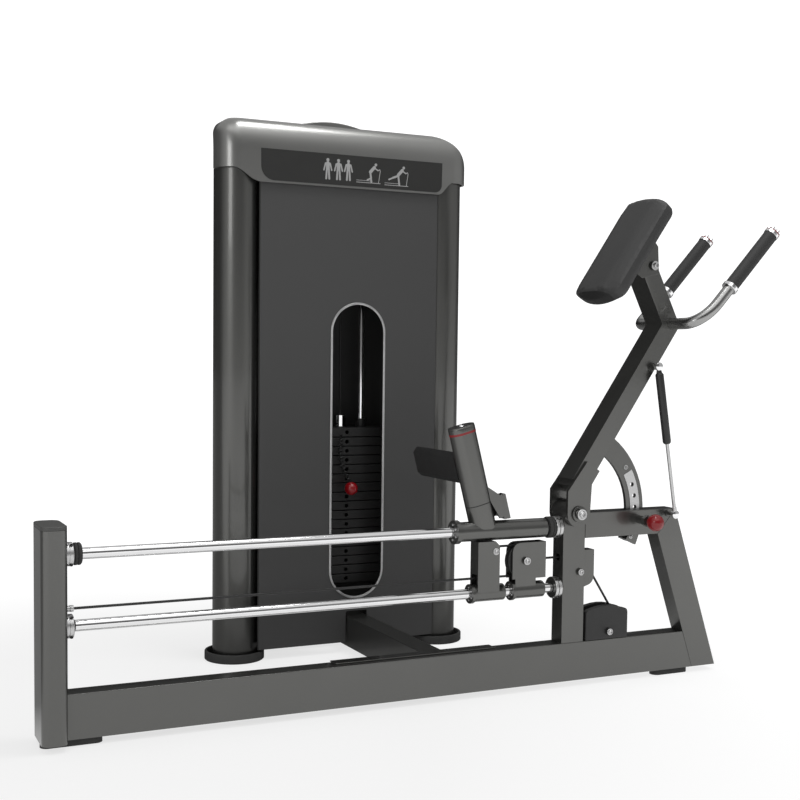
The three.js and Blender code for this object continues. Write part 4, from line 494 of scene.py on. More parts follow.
clamp_bore = rod_radius + 0.001
clamp_rings = bmesh.new()
clamp_screws = bmesh.new()
for start, length, radius in [(post_right, 0.0187, 0.0262), (1.2181, 0.0195, 0.0277)]:
    profile = [
        (0, clamp_bore), (0, radius - 0.0015), (0.0015, radius), (length * 0.40, radius),
        (length * 0.40, radius - 0.0018), (length * 0.52, radius - 0.0018), (length * 0.52, radius),
        (length - 0.0015, radius), (length, radius - 0.0015), (length, clamp_bore), (0, clamp_bore),
    ]
    for height in (upper_height, lower_height):
        spin_in(clamp_rings, profile, (start, 0, height), along_x, 56)
        for turn in (-52, 52):
            away = Vector((0, -math.cos(math.radians(turn)), math.sin(math.radians(turn))))
            for share, head in [(0.72, 0.0036), (0.2, 0.0026)]:
                seat = Vector((start + length * share, 0, height)) + away * (radius - 0.0006)
                screw_in(clamp_screws, seat, away, head)
piece("rod_clamps", settled(clamp_rings), zinc, "base")
piece("rod_clamp_screws", settled(clamp_screws), black_plastic, "base")
anchor_profile = [
    (0, 0), (0, 0.0064), (0.012, 0.0064), (0.013, 0.0072), (0.0195, 0.0072), (0.0205, 0.0062),
    (0.0205, 0.0032),
]
turned("cable_anchor", anchor_profile, (post_right, 0, cable_height), along_x, 36, zinc, "base")


# Pivot, pulley guard and base pulley cover
# The arm turns on a bush in the upright's saddle; a bent guard and a split cover keep fingers
# away from the two pulleys under it.
piece("pivot_barrel", broken_edges("pivot_bush", 0.0, 0.0008), graphite, "base", ["pivot_bush"])
dressed("guard_plate", "pulley_guard", graphite, "base", "graphite", 0.003, 0.0006)
dressed("split_cover", "base_pulley_cover", black_plastic, "base", "black_plastic", 0.003, 0.0008)


def bolt_in(shape, at, along, head=0.0062, height=0.0045, washer=0.0095):
    """A domed socket bolt on a plain washer with a rolled edge."""
    seat = 0.0018
    profile = [
        (0, 0), (0, washer), (0.0012, washer), (seat, washer - 0.0006), (seat, head * 1.08),
        (seat + height * 0.25, head), (seat + height * 0.75, head * 0.86), (seat + height, head * 0.62),
        (seat + height, head * 0.5), (seat + height * 0.35, head * 0.42), (seat + height * 0.3, 0),
    ]
    spin_in(shape, profile, at, along, 36)


def bolts_in(shape, x, half_depth, z, *sizes):
    """The same bolt in front and behind."""
    bolt_in(shape, (x, -half_depth, z), to_the_front, *sizes)
    bolt_in(shape, (x, half_depth, z), along_y, *sizes)


# Pulleys
# Moulded black wheels with a round groove for the cable, a raised hub and a thin web between.
cable_radius = 0.003
wheel_width = 0.020


def pulley_profile(pitch, flange):
    """Across the wheel and back along its bore; pitch is the radius at the cable's middle."""
    rim = pitch + flange
    half = wheel_width / 2
    groove = pitch - cable_radius
    web = half * 0.35
    hub = 0.015
    bore = 0.0063
    rim_inner = groove - 0.007
    return [
        (-half, bore), (-half, hub), (-web, hub + 0.0015), (-web, rim_inner - 0.0015),
        (-half, rim_inner), (-half, rim - 0.0012), (-half + 0.0015, rim), (-half * 0.55, rim),
        (-cable_radius * 1.1, groove + cable_radius * 0.9),
        (-cable_radius * 0.6, groove + cable_radius * 0.15), (0, groove),
        (cable_radius * 0.6, groove + cable_radius * 0.15),
        (cable_radius * 1.1, groove + cable_radius * 0.9), (half * 0.55, rim),
        (half - 0.0015, rim), (half, rim - 0.0012), (half, rim_inner), (web, rim_inner - 0.0015),
        (web, hub + 0.0015), (half, hub), (half, bore), (-half, bore),
    ]


wheels = {
    "travelling_pulley": ((1.132, 0, 0.3351), 0.0385, 0.009, along_y),
    "upright_pulley": ((1.290, 0, 0.298), 0.038, 0.005, along_y),
    "base_pulley": ((1.382, 0, 0.1356), 0.050, 0.005, along_y),
    "corner_pulley": ((0.942, 0.040, 0.0856), 0.040, 0.005, along_z),
    "tower_base_pulley": ((0.902, 0.732, 0.1156), 0.030, 0.005, along_x),
    "top_pulley": ((0.909, 0.717, 1.422), 0.045, 0.005, along_x),
}
for node, (at, pitch_radius, flange, axle) in wheels.items():
    turned(
        f"{node}_wheel", pulley_profile(pitch_radius, flange), at, axle, 64, black_plastic, node,
        [node])


# Tower columns and their shoes
# Wide round tubes, sprayed like the frame, that stand in open rubber shoes.
column_radius = 0.0615
column_y = 0.603
column_top = 1.36
column_profile = [
    (0.0043, column_radius - 0.003), (0.0043, column_radius - 0.0008), (0.0051, column_radius),
    (0.0600, column_radius), (0.7, column_radius), (column_top - 0.0008, column_radius),
    (column_top, column_radius - 0.0008), (column_top, column_radius - 0.003),
    (0.0043, column_radius - 0.003),
]
outer_rim = column_radius + 0.0215
inner_rim = column_radius + 0.0135
shoe_profile = [
    (0, 0), (0, outer_rim - 0.002), (0.002, outer_rim), (0.022, outer_rim), (0.0242, outer_rim - 0.0012),
    (0.025, outer_rim - 0.0035), (0.0243, inner_rim + 0.001), (0.0225, inner_rim),
    (0.006, inner_rim - 0.0008), (0.004, inner_rim - 0.003), (0.004, 0),
]
for side, x in [("left", 0.5655), ("right", 1.191)]:
    foot = (x, column_y, 0)
    turned(
        f"{side}_column_tube", column_profile, foot, along_z, 96, graphite, "base",
        [f"{side}_column"])
    turned(f"{side}_shoe", shoe_profile, foot, along_z, 96, rubber, "base", [f"{side}_foot_ring"])


# Tower shroud
# A vacuum-formed lid in silver graphite lacquer. Its top edge is rolled over all round, the
# right shoulder is rounder than the left one, and an apron hangs over the panel in front.
lacquer = shaded(
    "silver_graphite_lacquer",
    Base_Color=lambda f: f.between((0.235, 0.235, 0.228), (0.29, 0.29, 0.281), f.noise(4)),
    Metallic=0.72,
    Roughness=lambda f: 0.27 + 0.06 * f.noise(600, 1.0),
    Coat_Weight=0.4,
    Coat_Roughness=0.12,
)
shroud_left = 0.497
shroud_right = 1.260
shroud_front = 0.530
shroud_back = 0.790
shroud_top = 1.487
shroud_hem = 1.351
shroud_apron = 1.315
shroud_taper = 0.070
shroud_corner = 0.062
shroud_wall = 0.006
apron_ends = (0.612, 1.152)
apron_runs = (0.078, 0.046)
roll_height = 0.096
front_roll = (0.042, 0.094)
side_roll = (0.036, 0.046)
right_shoulder = 0.130
left_shoulder = 0.054
block_foot = 1.26


def lofted(levels):
    """A closed block through outlines at rising heights."""
    block = bmesh.new()
    rings = []
    for height, plan in levels:
        row = [block.verts.new((x, y, height)) for x, y in plan]
        rings.append([block.edges.new(pair) for pair in zip(row, row[1:] + row[:1])])
    for lower, upper in zip(rings, rings[1:]):
        bmesh.ops.bridge_loops(block, edges=lower + upper)
    for end in (rings[0], rings[-1]):
        bmesh.ops.contextual_create(block, geom=end)
    bmesh.ops.recalc_face_normals(block, faces=block.faces)
    return block


def drawn_in(height, top, wide, tall):
    """How far a roll has come in at a height, on a quarter ellipse that ends at the top."""
    climb = max(0.0, min(1.0, (height - (top - tall)) / tall))
    return wide * (1 - math.sqrt(1 - climb * climb))


def lid(inset):
    """The lid as a block whose plan draws in as its edge rolls over."""
    top = shroud_top - inset
    steps = 20
    heights = [block_foot]
    heights += [top - roll_height * (1 - math.sin(math.pi / 2 * i / steps)) for i in range(steps + 1)]
    levels = []
    for height in heights:
        front = inset + drawn_in(height, top, *front_roll)
        side = inset + drawn_in(height, top, *side_roll)
        corner = shroud_corner - inset - 0.5 * (front + side - 2 * inset) * 0.6
        left, right = shroud_left + side, shroud_right - side
        near, far = shroud_front + front + corner, shroud_back - inset - side
        plan = [(left + shroud_taper, far)]
        plan += arc((left + corner, near), corner, 180, 270, 16)
        plan += arc((right - corner, near), corner, 270, 360, 16)
        levels.append((height, plan + [(right - shroud_taper, far)]))
    return lofted(levels)


def shoulders(inset):
    """The lid's two shoulders seen from the front, from right to left, drawn in by inset."""
    right = (shroud_right - right_shoulder, shroud_top - right_shoulder)
    left = (shroud_left + left_shoulder, shroud_top - left_shoulder)
    return arc(right, right_shoulder - inset, 0, 90, 24) + arc(left, left_shoulder - inset, 90, 180, 16)


def fall(start, end, low, high):
    """A soft step of the hem between two heights."""
    shares = [i / 12 for i in range(13)]
    return [(start + (end - start) * t, low + (high - low) * (t * t * (3 - 2 * t))) for t in shares]


def elevation():
    """The lid seen from the front: hem, apron and the two shoulders."""
    left, right = apron_ends
    return (
        [(shroud_left - 0.01, shroud_hem)]
        + fall(left - apron_runs[0], left, shroud_hem, shroud_apron)
        + fall(right, right + apron_runs[1], shroud_apron, shroud_hem)
        + [(shroud_right + 0.01, shroud_hem)] + shoulders(0)
    )


def as_object(shape, name):
    mesh = bpy.data.meshes.new(name)
    shape.to_mesh(mesh)
    shape.free()
    made = bpy.data.objects.new(name, mesh)
    bpy.context.scene.collection.objects.link(made)
    return made


def as_shape(made, shape=None):
    """An object's mesh as a bmesh, or added to one; the object itself goes."""
    if shape is None:
        shape = bmesh.new()
    shape.from_mesh(made.data)
    bpy.data.objects.remove(made)
    return shape


def carved(body, tools):
    """The body with each tool's shape taken out or kept, as one bmesh."""
    for operation, tool in tools:
        step = body.modifiers.new("carve", "BOOLEAN")
        step.operation = operation
        step.solver = "EXACT"
        step.object = tool
    graph = bpy.context.evaluated_depsgraph_get()
    mesh = bpy.data.meshes.new_from_object(body.evaluated_get(graph))
    shape = bmesh.new()
    shape.from_mesh(mesh)
    for used in [body] + [tool for _, tool in tools]:
        bpy.data.objects.remove(used)
    bmesh.ops.remove_doubles(shape, verts=shape.verts, dist=0.00002)
    return shape


def slab(points, near, far, name="slab"):
    """An outline in the X and Z of the machine, pulled from near to far in Y."""
    shape = bmesh.new()
    front = shape.faces.new([shape.verts.new((x, near, z)) for x, z in points])
    grown = bmesh.ops.extrude_face_region(shape, geom=[front])
    moved = [v for v in grown["geom"] if isinstance(v, bmesh.types.BMVert)]
    bmesh.ops.translate(shape, vec=(0, far - near, 0), verts=moved)
    bmesh.ops.recalc_face_normals(shape, faces=shape.faces)
    return as_object(shape, name)


def box_outline(left, right, low, high):
    return [(left, low), (right, low), (right, high), (left, high)]


before_lid, behind_lid = 0.5, 0.82
room_foot = [(shroud_left - 0.01, 1.24), (shroud_right + 0.01, 1.24)]
room_outline = slab(room_foot + shoulders(shroud_wall), before_lid, behind_lid)
room = as_object(carved(as_object(lid(shroud_wall), "lid_block"), [("INTERSECT", room_outline)]), "lid_room")
outline = slab(elevation(), before_lid, behind_lid)
relief = slab(box_outline(0.48, 1.28, 1.2, shroud_hem), 0.5385, behind_lid)
shell_tools = [("INTERSECT", outline), ("DIFFERENCE", room), ("DIFFERENCE", relief)]
shell = carved(as_object(lid(0), "lid_hull"), shell_tools)
piece("shroud_shell", shell, lacquer, "base", ["top_shroud"], crease=30)
ridge_left, ridge_right = 0.725, 0.96
ridge_foot = 1.482
ridge_rise = 0.0215
ridge_points = [(ridge_left, ridge_foot), (ridge_right, ridge_foot)]
ridge_points += [
    (ridge_right - (ridge_right - ridge_left) * t, ridge_foot + ridge_rise * math.sin(math.pi * t) ** 0.8)
    for t in [i / 20 for i in range(1, 20)]
]
ridge = as_shape(slab(ridge_points, 0.592, 0.700))
rounded(ridge, [e for e in ridge.edges if e.calc_face_angle(0) > 0.9], 0.004, 4, clamp=True)
piece("shroud_ridge", ridge, lacquer, "base")


# Placard on the shroud
# A thin dark overlay on the apron, with round lower corners. It carries only plain figures:
# three that stand, and two that lean on bars and push a leg back.
placard_print = mottled("blank_placard", (0.016, 0.016, 0.015), (0.022, 0.022, 0.021), 25, 0.44, 0.1, 70)
figure_ink = mottled("pale_ink", grey(0.42), grey(0.50), 40, 0.5, 0.1, 60)
placard = [(0.612, 1.405)] + arc((0.6505, 1.3585), 0.038, 182, 270, 10)
placard += arc((1.1400, 1.3420), 0.0215, 270, 357, 8) + [(1.1625, 1.405)]
sheet = as_shape(slab(placard, shroud_front - 0.0008, shroud_front + 0.0004))
piece("placard", sheet, placard_print, "base")


def limb(start, end, width, height):
    """One round-ended stroke of a figure, in X and Z; places are shares of the figure's height."""
    first, last = Vector(start) * height, Vector(end) * height
    turn = math.degrees(math.atan2((last - first).y, (last - first).x))
    return (
        arc(last, width * height, turn - 90, turn + 90, 8)
        + arc(first, width * height, turn + 90, turn + 270, 8))


def figure(shape, at, height, strokes):
    """A figure of thin raised strokes, each a hair prouder than the last; the head comes first."""
    for i, (start, end, width) in enumerate(strokes):
        proud = shroud_front - 0.0009 - 0.00001 * i
        outline = [(at[0] + x, at[1] + z) for x, z in limb(start, end, width, height)]
        as_shape(slab(outline, proud, shroud_front - 0.0006), shape)


standing = [
    ((0, 0.92), (0, 0.93), 0.075), ((0, 0.55), (0, 0.76), 0.095), ((-0.05, 0.50), (-0.08, 0.04), 0.045),
    ((0.05, 0.50), (0.08, 0.04), 0.045), ((-0.12, 0.76), (-0.20, 0.44), 0.035),
    ((0.12, 0.76), (0.20, 0.44), 0.035),
]
leaning = [
    ((0.30, 0.93), (0.30, 0.94), 0.070), ((0.00, 0.56), (0.22, 0.80), 0.080),
    ((0.00, 0.52), (0.06, 0.06), 0.048), ((0.22, 0.78), (0.42, 0.66), 0.032),
    ((0.42, 0.66), (0.52, 0.70), 0.026),
]
tucked_leg = [((0.00, 0.52), (0.04, 0.26), 0.050), ((0.04, 0.26), (-0.16, 0.16), 0.038)]
pushed_leg = [((0.00, 0.52), (-0.30, 0.40), 0.050), ((-0.30, 0.40), (-0.52, 0.30), 0.038)]
stand = [
    ((-0.75, 0.02), (0.55, 0.02), 0.016), ((0.45, 0.02), (0.55, 0.66), 0.016),
    ((-0.75, 0.12), (0.1, 0.12), 0.012),
]
figures = bmesh.new()
for x in (0.806, 0.838, 0.868):
    figure(figures, (x, 1.334), 0.058, standing)
figure(figures, (0.935, 1.332), 0.056, leaning + tucked_leg + stand)
figure(figures, (1.022, 1.330), 0.056, leaning + pushed_leg + stand)
piece("placard_figures", figures, figure_ink, "base")


# Front panel, window trim and rear cover
# Folded sheet with a fine textured powder coat; a bright strip lines the long window.
powder = shaded(
    "textured_powder_coat",
    Base_Color=lambda f: f.between(grey(0.066), grey(0.082), f.noise(700, 2.0)),
    Metallic=0.15,
    Roughness=lambda f: 0.50 + 0.16 * f.noise(700, 2.0),
    Normal=lambda f: f.bump(f.noise(700, 2.0), 0.00022),
)
window_x = 0.9072
window_half = 0.0779
window_low = 0.1612
window_high = 0.992
panel_sides = (0.6146, 1.1546, 0.0297, 1.317)
panel_front = 0.540
panel_sheet = 0.0025
before_panel, behind_panel = 0.53, 0.56


def stadium(grow, steps=40):
    """The window's outline with two round ends, grown by a margin."""
    low = window_low + window_half
    high = window_high - window_half
    return (
        arc((window_x, high), window_half + grow, 0, 180, steps)
        + arc((window_x, low), window_half + grow, 180, 360, steps)
    )


def panel_shape():
    """A pan of sheet with rounded front edges, a window, and a notch for the cross-beam."""
    left, right, low, high = panel_sides
    pan = as_shape(slab(box_outline(*panel_sides), panel_front, 0.552))
    front_edges = [e for e in pan.edges if all(abs(v.co.y - panel_front) < 0.0001 for v in e.verts)]
    rounded(pan, front_edges, 0.002, 3)
    inside = box_outline(left + panel_sheet, right - panel_sheet, low + panel_sheet, high - panel_sheet)
    notch = [(0.8767, 0.02), (0.9427, 0.02)] + arc((0.9387, 0.1153), 0.004, 0, 90, 4)
    notch += arc((0.8807, 0.1153), 0.004, 90, 180, 4)
    return carved(as_object(pan, "panel_body"), [
        ("DIFFERENCE", slab(inside, panel_front + panel_sheet, behind_panel)),
        ("DIFFERENCE", slab(stadium(0), before_panel, behind_panel)),
        ("DIFFERENCE", slab(notch, before_panel, behind_panel)),
    ])


weighted(piece("panel_sheet", panel_shape(), powder, "base", ["front_panel"], crease=35))
trim = carved(slab(stadium(0.006), 0.5375, 0.5397), [("DIFFERENCE", slab(stadium(0), before_panel, 0.545))])
lip = [e for e in trim.edges if e.calc_face_angle(0) > 1.2 and all(v.co.y < 0.538 for v in e.verts)]
rounded(trim, lip, 0.0008, 3)
piece("window_strip", trim, zinc, "base", ["window_trim"])
dressed("rear_cover", "rear_panel", powder, "base", "panel", 0.006, 0.0)


def repainted(node, material):
    """A solid that is kept as it is gets one of the scene's materials."""
    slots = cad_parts[node].data.materials
    slots.clear()
    slots.append(material)


repainted("tower_base", graphite)
repainted("tower_header", graphite)
repainted("stack_cushion", rubber)


# Weight stack
# Machined iron plates with broken edges under satin black paint, drilled for the pin, that
# slide on two bright rods; the stem hangs from the head plate.
plate_paint = mottled(
    "plate_paint", grey(0.020), grey(0.034), 18, 0.34, 0.18, 220, Metallic=0.35,
    Normal=lambda f: f.bump(f.noise(500), 0.00008))
plates = {"resting_plates": "base", "lifted_plates": "lifted_stack", "head_plate": "lifted_stack"}
for node, body in plates.items():
    dressed(f"{node}_block", node, plate_paint, body, "plate_iron", 0.0016, 0.0, 0.05, 2)
stack_y = 0.672
for side, x in [("left", 0.8426), ("right", 0.9754)]:
    turned(
        f"{side}_guide", rod_profile(1.1954, 0.0095), (x, stack_y, 0.1623), along_z, 40, chrome, "base",
        [f"{side}_stack_rod"])
repainted("selector_stem", chrome)


# Selector pin and its coiled lead
# A steel pin with a glossy red ball, tied to the head plate by a springy black lead.
red_gloss = mottled(
    "glossy_red_plastic", (0.26, 0.003, 0.007), (0.34, 0.005, 0.010), 14, 0.26, 0.06, 60, Coat_Weight=0.25)
cable_jacket = mottled("cable_jacket", grey(0.012), grey(0.022), 120, 0.34, 0.1, 200)
pin_x = 0.909
pin_z = 0.4659
stack_face = 0.617


def shaft_profile(length, chamfer):
    """A steel pin of 10 mm with a chamfer at its hidden end."""
    return [(0, 0), (0, 0.005 - chamfer), (chamfer, 0.005), (length, 0.005), (length, 0)]


pin = bmesh.new()
spin_in(pin, shaft_profile(0.088, 0.0015), (pin_x, 0.683, pin_z), to_the_front, 32)
pin_collar = [(0, 0), (0, 0.0098), (0.0012, 0.011), (0.0140, 0.011), (0.0158, 0.0095), (0.0158, 0)]
spin_in(pin, pin_collar, (pin_x, stack_face - 0.0005, pin_z), to_the_front, 40)
piece("pin_shaft", settled(pin), chrome, "selector_pin")


def ball_profile(radius, neck, steps=22):
    """A ball that grows out of a short neck, seen from the neck's side."""
    start = math.asin(neck / radius)
    row = [(-0.004, 0), (-0.004, neck * 1.05)]
    row += [
        (radius * math.cos(start) - radius * math.cos(start + (math.pi - start) * i / steps),
         radius * math.sin(start + (math.pi - start) * i / steps))
        for i in range(steps)
    ]
    return row + [(radius * (1 + math.cos(start)), 0)]


turned(
    "pin_ball", ball_profile(0.019, 0.009), (pin_x, stack_face - 0.0165, pin_z), to_the_front, 48, red_gloss,
    "selector_pin", ["selector_pin"])


def tube_piece(name, points, radius, material, body, stands_for=(), fineness=6):
    """A round tube or cord along a row of points, closed at both ends."""
    curve = bpy.data.curves.new(name, "CURVE")
    curve.dimensions = "3D"
    run = curve.splines.new("POLY")
    run.points.add(len(points) - 1)
    for spot, point in zip(run.points, points):
        spot.co = (*point, 1)
    curve.bevel_depth = radius
    curve.bevel_resolution = fineness
    curve.use_fill_caps = True
    holder = bpy.data.objects.new(name + "_route", curve)
    bpy.context.scene.collection.objects.link(holder)
    mesh = bpy.data.meshes.new_from_object(holder)
    bpy.data.objects.remove(holder)
    shape = bmesh.new()
    shape.from_mesh(mesh)
    bmesh.ops.remove_doubles(shape, verts=shape.verts, dist=0.00001)
    bmesh.ops.recalc_face_normals(shape, faces=shape.faces)
    return piece(name, shape, material, body, stands_for, crease=60)


lead_wire = 0.0016
lead_coil = 0.0052
lead_turns = 12
lead_steps = lead_turns * 26
lead_top = Vector((0.885, 0.603, 0.6134))
lead_low = Vector((0.909, 0.603, 0.4909))
lead_sway = 0.012


def lead_axis(t):
    return lead_top.lerp(lead_low, t) + Vector((-lead_sway * math.sin(math.pi * t), 0, 0))


lead_points = []
for i in range(lead_steps + 1):
    t = i / lead_steps
    tangent = (lead_axis(min(t + 1 / lead_steps, 1)) - lead_axis(max(t - 1 / lead_steps, 0))).normalized()
    across = tangent.cross(Vector(along_y)).normalized()
    away = across.cross(tangent)
    turn_angle = 2 * math.pi * lead_turns * t
    lead_points.append(
        lead_axis(t) + lead_coil * (across * math.cos(turn_angle) + away * math.sin(turn_angle)))
hook = lead_points[0] + Vector((0, 0, lead_coil))
hook_run = [Vector((hook.x, 0.6167, hook.z)), Vector((hook.x, 0.6135, hook.z))]
ring_run = [Vector((pin_x, 0.6087, 0.4804)), Vector((pin_x, 0.6087, 0.4772))]
tube_piece(
    "coiled_lead", hook_run + lead_points + ring_run, lead_wire, cable_jacket, "lifted_stack",
    ["pin_lanyard"], 3)


# Steel cables
# Two jacketed cables: one from the end post round the travelling pulley to the foot carriage,
# one from the pulley carriage down, through the cross-beam and over the tower to the stack.
def wrapped(node, first, second, start, end, steps):
    """Points of a cable's bend round a pulley, in the plane of two directions."""
    centre, radius = wheels[node][:2]
    angles = [math.radians(start + (end - start) * i / steps) for i in range(steps + 1)]
    return [
        Vector(centre) + Vector(first) * (radius * math.cos(a)) + Vector(second) * (radius * math.sin(a))
        for a in angles
    ]


pedal_route = [Vector((rod_left, 0, cable_height))]
pedal_route += wrapped("travelling_pulley", along_x, along_z, -90, 90, 24)
pedal_route += [Vector((1.0545, 0, 0.3736))]
tube_piece("pedal_cable_run", pedal_route, cable_radius, cable_jacket, "base", ["pedal_cable"])
stack_route = [Vector((1.1915, 0, 0.336))]
stack_route += wrapped("upright_pulley", along_x, along_z, 90, 33.2, 10)
stack_route += wrapped("base_pulley", along_x, along_z, 33.2, -90, 20)
stack_route += wrapped("corner_pulley", along_x, along_y, -90, -180, 16)
stack_route += wrapped("tower_base_pulley", along_y, along_z, -90, 0, 16)
stack_route += wrapped("top_pulley", along_y, along_z, 0, 180, 24)
stack_route += [Vector((pin_x, stack_y, 0.6744))]
tube_piece("stack_cable_run", stack_route, cable_radius, cable_jacket, "base", ["stack_cable"])


# Foot carriage
# A long sleeve with a flange of screws slides on the upper rod; a box bracket below it holds
# the short sleeve on the lower rod and the cable's anchor bolt.
dressed("sleeve_body", "slide_sleeve", graphite, "foot_carriage", "graphite", 0.0, 0.0012)
dressed("bracket_body", "slide_bracket", graphite, "foot_carriage", "graphite", 0.0, 0.0007)


def screws_round(shape, centre, along, circle, count, head, first=45):
    """A ring of small socket screws on a flange."""
    direction = Vector(along)
    aside = Vector(along_y) if abs(direction.y) < 0.5 else Vector(along_x)
    other = direction.cross(aside)
    for i in range(count):
        angle = math.radians(first + 360 * i / count)
        at = Vector(centre) + aside * (circle * math.cos(angle)) + other * (circle * math.sin(angle))
        screw_in(shape, at, along, head)


carriage_screws = bmesh.new()
screws_round(carriage_screws, (0.9309, 0, upper_height), to_the_left, 0.0188, 6, 0.0028, 30)
screws_round(carriage_screws, (0.9779, 0, lower_height), to_the_left, 0.0160, 6, 0.0022, 30)
bolt_in(carriage_screws, (1.043, -0.0203, 0.3640), to_the_front, 0.0058, 0.0048, 0.0086)
piece("carriage_screws", settled(carriage_screws), zinc, "foot_carriage")


# Foot post and height lever
# An oval tube over the stub leans to the left, closed by a graphite cap above a red ring; the
# foot plate is a curved tray on its far side, and the clamp lever sits between two ears.
dressed("foot_tube_body", "foot_tube", graphite, "foot_post", "graphite", 0.0, 0.0008)
dressed("foot_tray", "foot_plate", black_plastic, "foot_post", "black_plastic", 0.003, 0.0008)
dressed("clamp_lever", "height_lever", graphite, "height_lever", "graphite", 0.002, 0.0008, 0.02)
post_turn = Matrix.Translation((1.018, 0, upper_height)) @ Matrix.Rotation(math.radians(-14.8), 4, "Y")
cap_head = 0.2722


def on_post(shape):
    """Leans a shape that was drawn upright over the stub."""
    bmesh.ops.transform(shape, matrix=post_turn, verts=shape.verts)
    return shape


def oval_ring(length, width, low, high):
    """A flat oval band: a racetrack outline pulled up."""
    reach = (length - width) / 2
    return prism(
        arc((reach, 0), width / 2, -90, 90, 16) + arc((-reach, 0), width / 2, 90, 270, 16), low, high)


red_band = on_post(oval_ring(0.0702, 0.0492, 0.2525, 0.2578))
piece("foot_tube_red_ring", red_band, red_gloss, "foot_post")
stub_collar = on_post(oval_ring(0.0688, 0.0478, 0.004, 0.0697))
weighted(piece("stub_collar", stub_collar, graphite, "foot_carriage"))
gasket = on_post(oval_ring(0.0694, 0.0484, 0.0700, 0.0722))
piece("foot_tube_gasket", gasket, black_plastic, "foot_post")
cap = oval_ring(0.0700, 0.0490, 0.2578, cap_head)
rounded(cap, [e for e in cap.edges if all(v.co.z > cap_head - 0.0002 for v in e.verts)], 0.006, 5)
piece("foot_tube_cap", on_post(cap), graphite, "foot_post")
cap_screw = bmesh.new()
spin_in(cap_screw, [
    (0, 0), (0, 0.0085), (0.0016, 0.0075), (0.002, 0.0045), (0.0008, 0.004), (0.0008, 0),
], (0, 0, cap_head - 0.0001), along_z, 28)
piece("cap_screw", settled(on_post(cap_screw)), chrome, "foot_post")


# Pulley carriage
# Two bent cheeks round the travelling pulley, welded to a short sleeve on the lower rod.
dressed("carriage_cheeks", "pulley_carriage", graphite, "pulley_carriage", "graphite", 0.0, 0.0006)
axle_bolt = bmesh.new()
axle_x, _, axle_z = wheels["travelling_pulley"][0]
bolts_in(axle_bolt, axle_x, 0.0232, axle_z, 0.0062, 0.0048, 0.0096)
screws_round(axle_bolt, (1.0939, 0, lower_height), to_the_left, 0.0160, 6, 0.0022, 30)
piece("carriage_axle_bolt", settled(axle_bolt), zinc, "pulley_carriage")


# Chest arm and pad bracket
# A bent square tube between two side cheeks at the pivot, with a holed arc below it for the pop
# pin; the pad's bracket is folded plate bolted across the arm's upper end.
dressed("arm_tube", "chest_arm", graphite, "arm", "graphite", 0.0045, 0.0008, 0.05)
dressed("bracket_plate", "pad_bracket", graphite, "arm", "graphite", 0.0, 0.0009)
pivot_at = (1.27085, 0.451)
hole_circle = 0.205
hole_angles = [18.6 - 8.6 * i for i in range(4)]
arm_turn = Matrix.Translation((pivot_at[0], 0, pivot_at[1])) @ Matrix.Rotation(math.radians(-56), 4, "Y")


def on_circle(radius, angle):
    """A place in X and Z round the pivot."""
    return arc(pivot_at, radius, angle, 360, 1)[0]


def sector(inner, outer, low, high, steps=24):
    """A part of a flat ring round the pivot, seen from the front."""
    return arc(pivot_at, outer, low, high, steps) + arc(pivot_at, inner, high, low, steps)


arc_body = as_object(broken_edges("adjustment_arc", 0.0, 0.0009), "arc_body")
arc_tail = slab(sector(0.168, 0.245, -36, -24.5, 6), -0.03, 0.04)
weighted(piece("range_arc", carved(arc_body, [("DIFFERENCE", arc_tail)]), graphite, "arm",
               ["adjustment_arc"]))
hole_tools = [
    ("DIFFERENCE", slab(arc(on_circle(hole_circle, angle), 0.0060, 0, 345, 23), -0.01, 0.01))
    for angle in hole_angles
]
range_strip = carved(slab(sector(0.1905, 0.2195, -14, 28.5), 0.0006, 0.0019), hole_tools)
piece("range_strip", range_strip, zinc, "arm", crease=30)
arc_bolts = bmesh.new()
for radius, angle, y in [(0.207, 32.5, 0.002), (0.199, -21.0, -0.011)]:
    x, z = on_circle(radius, angle)
    bolt_in(arc_bolts, (x, y, z), to_the_front, 0.0042, 0.0045, 0.0062)
piece("arc_bolts", settled(arc_bolts), zinc, "arm")
pad_bolt = bmesh.new()
pad_bolt_x, _, pad_bolt_z = arm_turn @ Vector((0.651, 0, 0.177))
bolts_in(pad_bolt, pad_bolt_x, 0.0468, pad_bolt_z, 0.0074, 0.0062, 0.0118)
piece("pad_bolt", settled(pad_bolt), zinc, "arm")
pivot_bolt = bmesh.new()
bolts_in(pivot_bolt, pivot_at[0], 0.0575, pivot_at[1], 0.0092, 0.0070, 0.0140)
piece("pivot_bolt", settled(pivot_bolt), zinc, "base")


# Chest pad
# Moulded foam on a board under a grained cover: a flat face, long chamfers down both sides,
# round corners, and a soft fullness from the foam that pushes against the cover.
pad_along = 0.643
pad_face = 0.281
pad_chamfer = 0.018
pad_depth = 0.050
pad_length = 0.322
pad_width = 0.192
face_length = 0.298
face_width = 0.118
remesh_size = 0.0030
most_swelling = 0.0018
cloth_pressure = 3.0
cloth_frames = 20
pad_axis = arm_turn.to_3x3() @ Vector(along_x)
lower_seam = (arm_turn @ Vector((pad_along - face_length / 2 + 0.003, 0, 0))).dot(pad_axis)


def painted_end_shade(finish):
    """Painted shade: 0 on the long middle panel, 1 below the seam at the lower end, which faces down."""
    along = finish.node(
        "ShaderNodeVectorMath", {"operation": "DOT_PRODUCT"}, {0: finish.place(), 1: pad_axis}, output=1)
    return finish.node("ShaderNodeClamp", None, {0: (lower_seam - along) * 700})


def cover_grain_and_end_shade(finish):
    grain = 0.5 * finish.noise(16) + 0.5 * finish.noise(900, 2.0)
    # The cover's own grain, times a painted shade that darkens the lower end panel, which faces down.
    return finish.between((0.038, 0.038, 0.039), grey(0.052), grain) * (1.0 - 0.62 * painted_end_shade(finish))


def pebbles(finish):
    cells = finish.node("ShaderNodeTexVoronoi", None, {"Vector": finish.place(), "Scale": 620.0})
    return finish.bump(cells, 0.00025, 0.6)


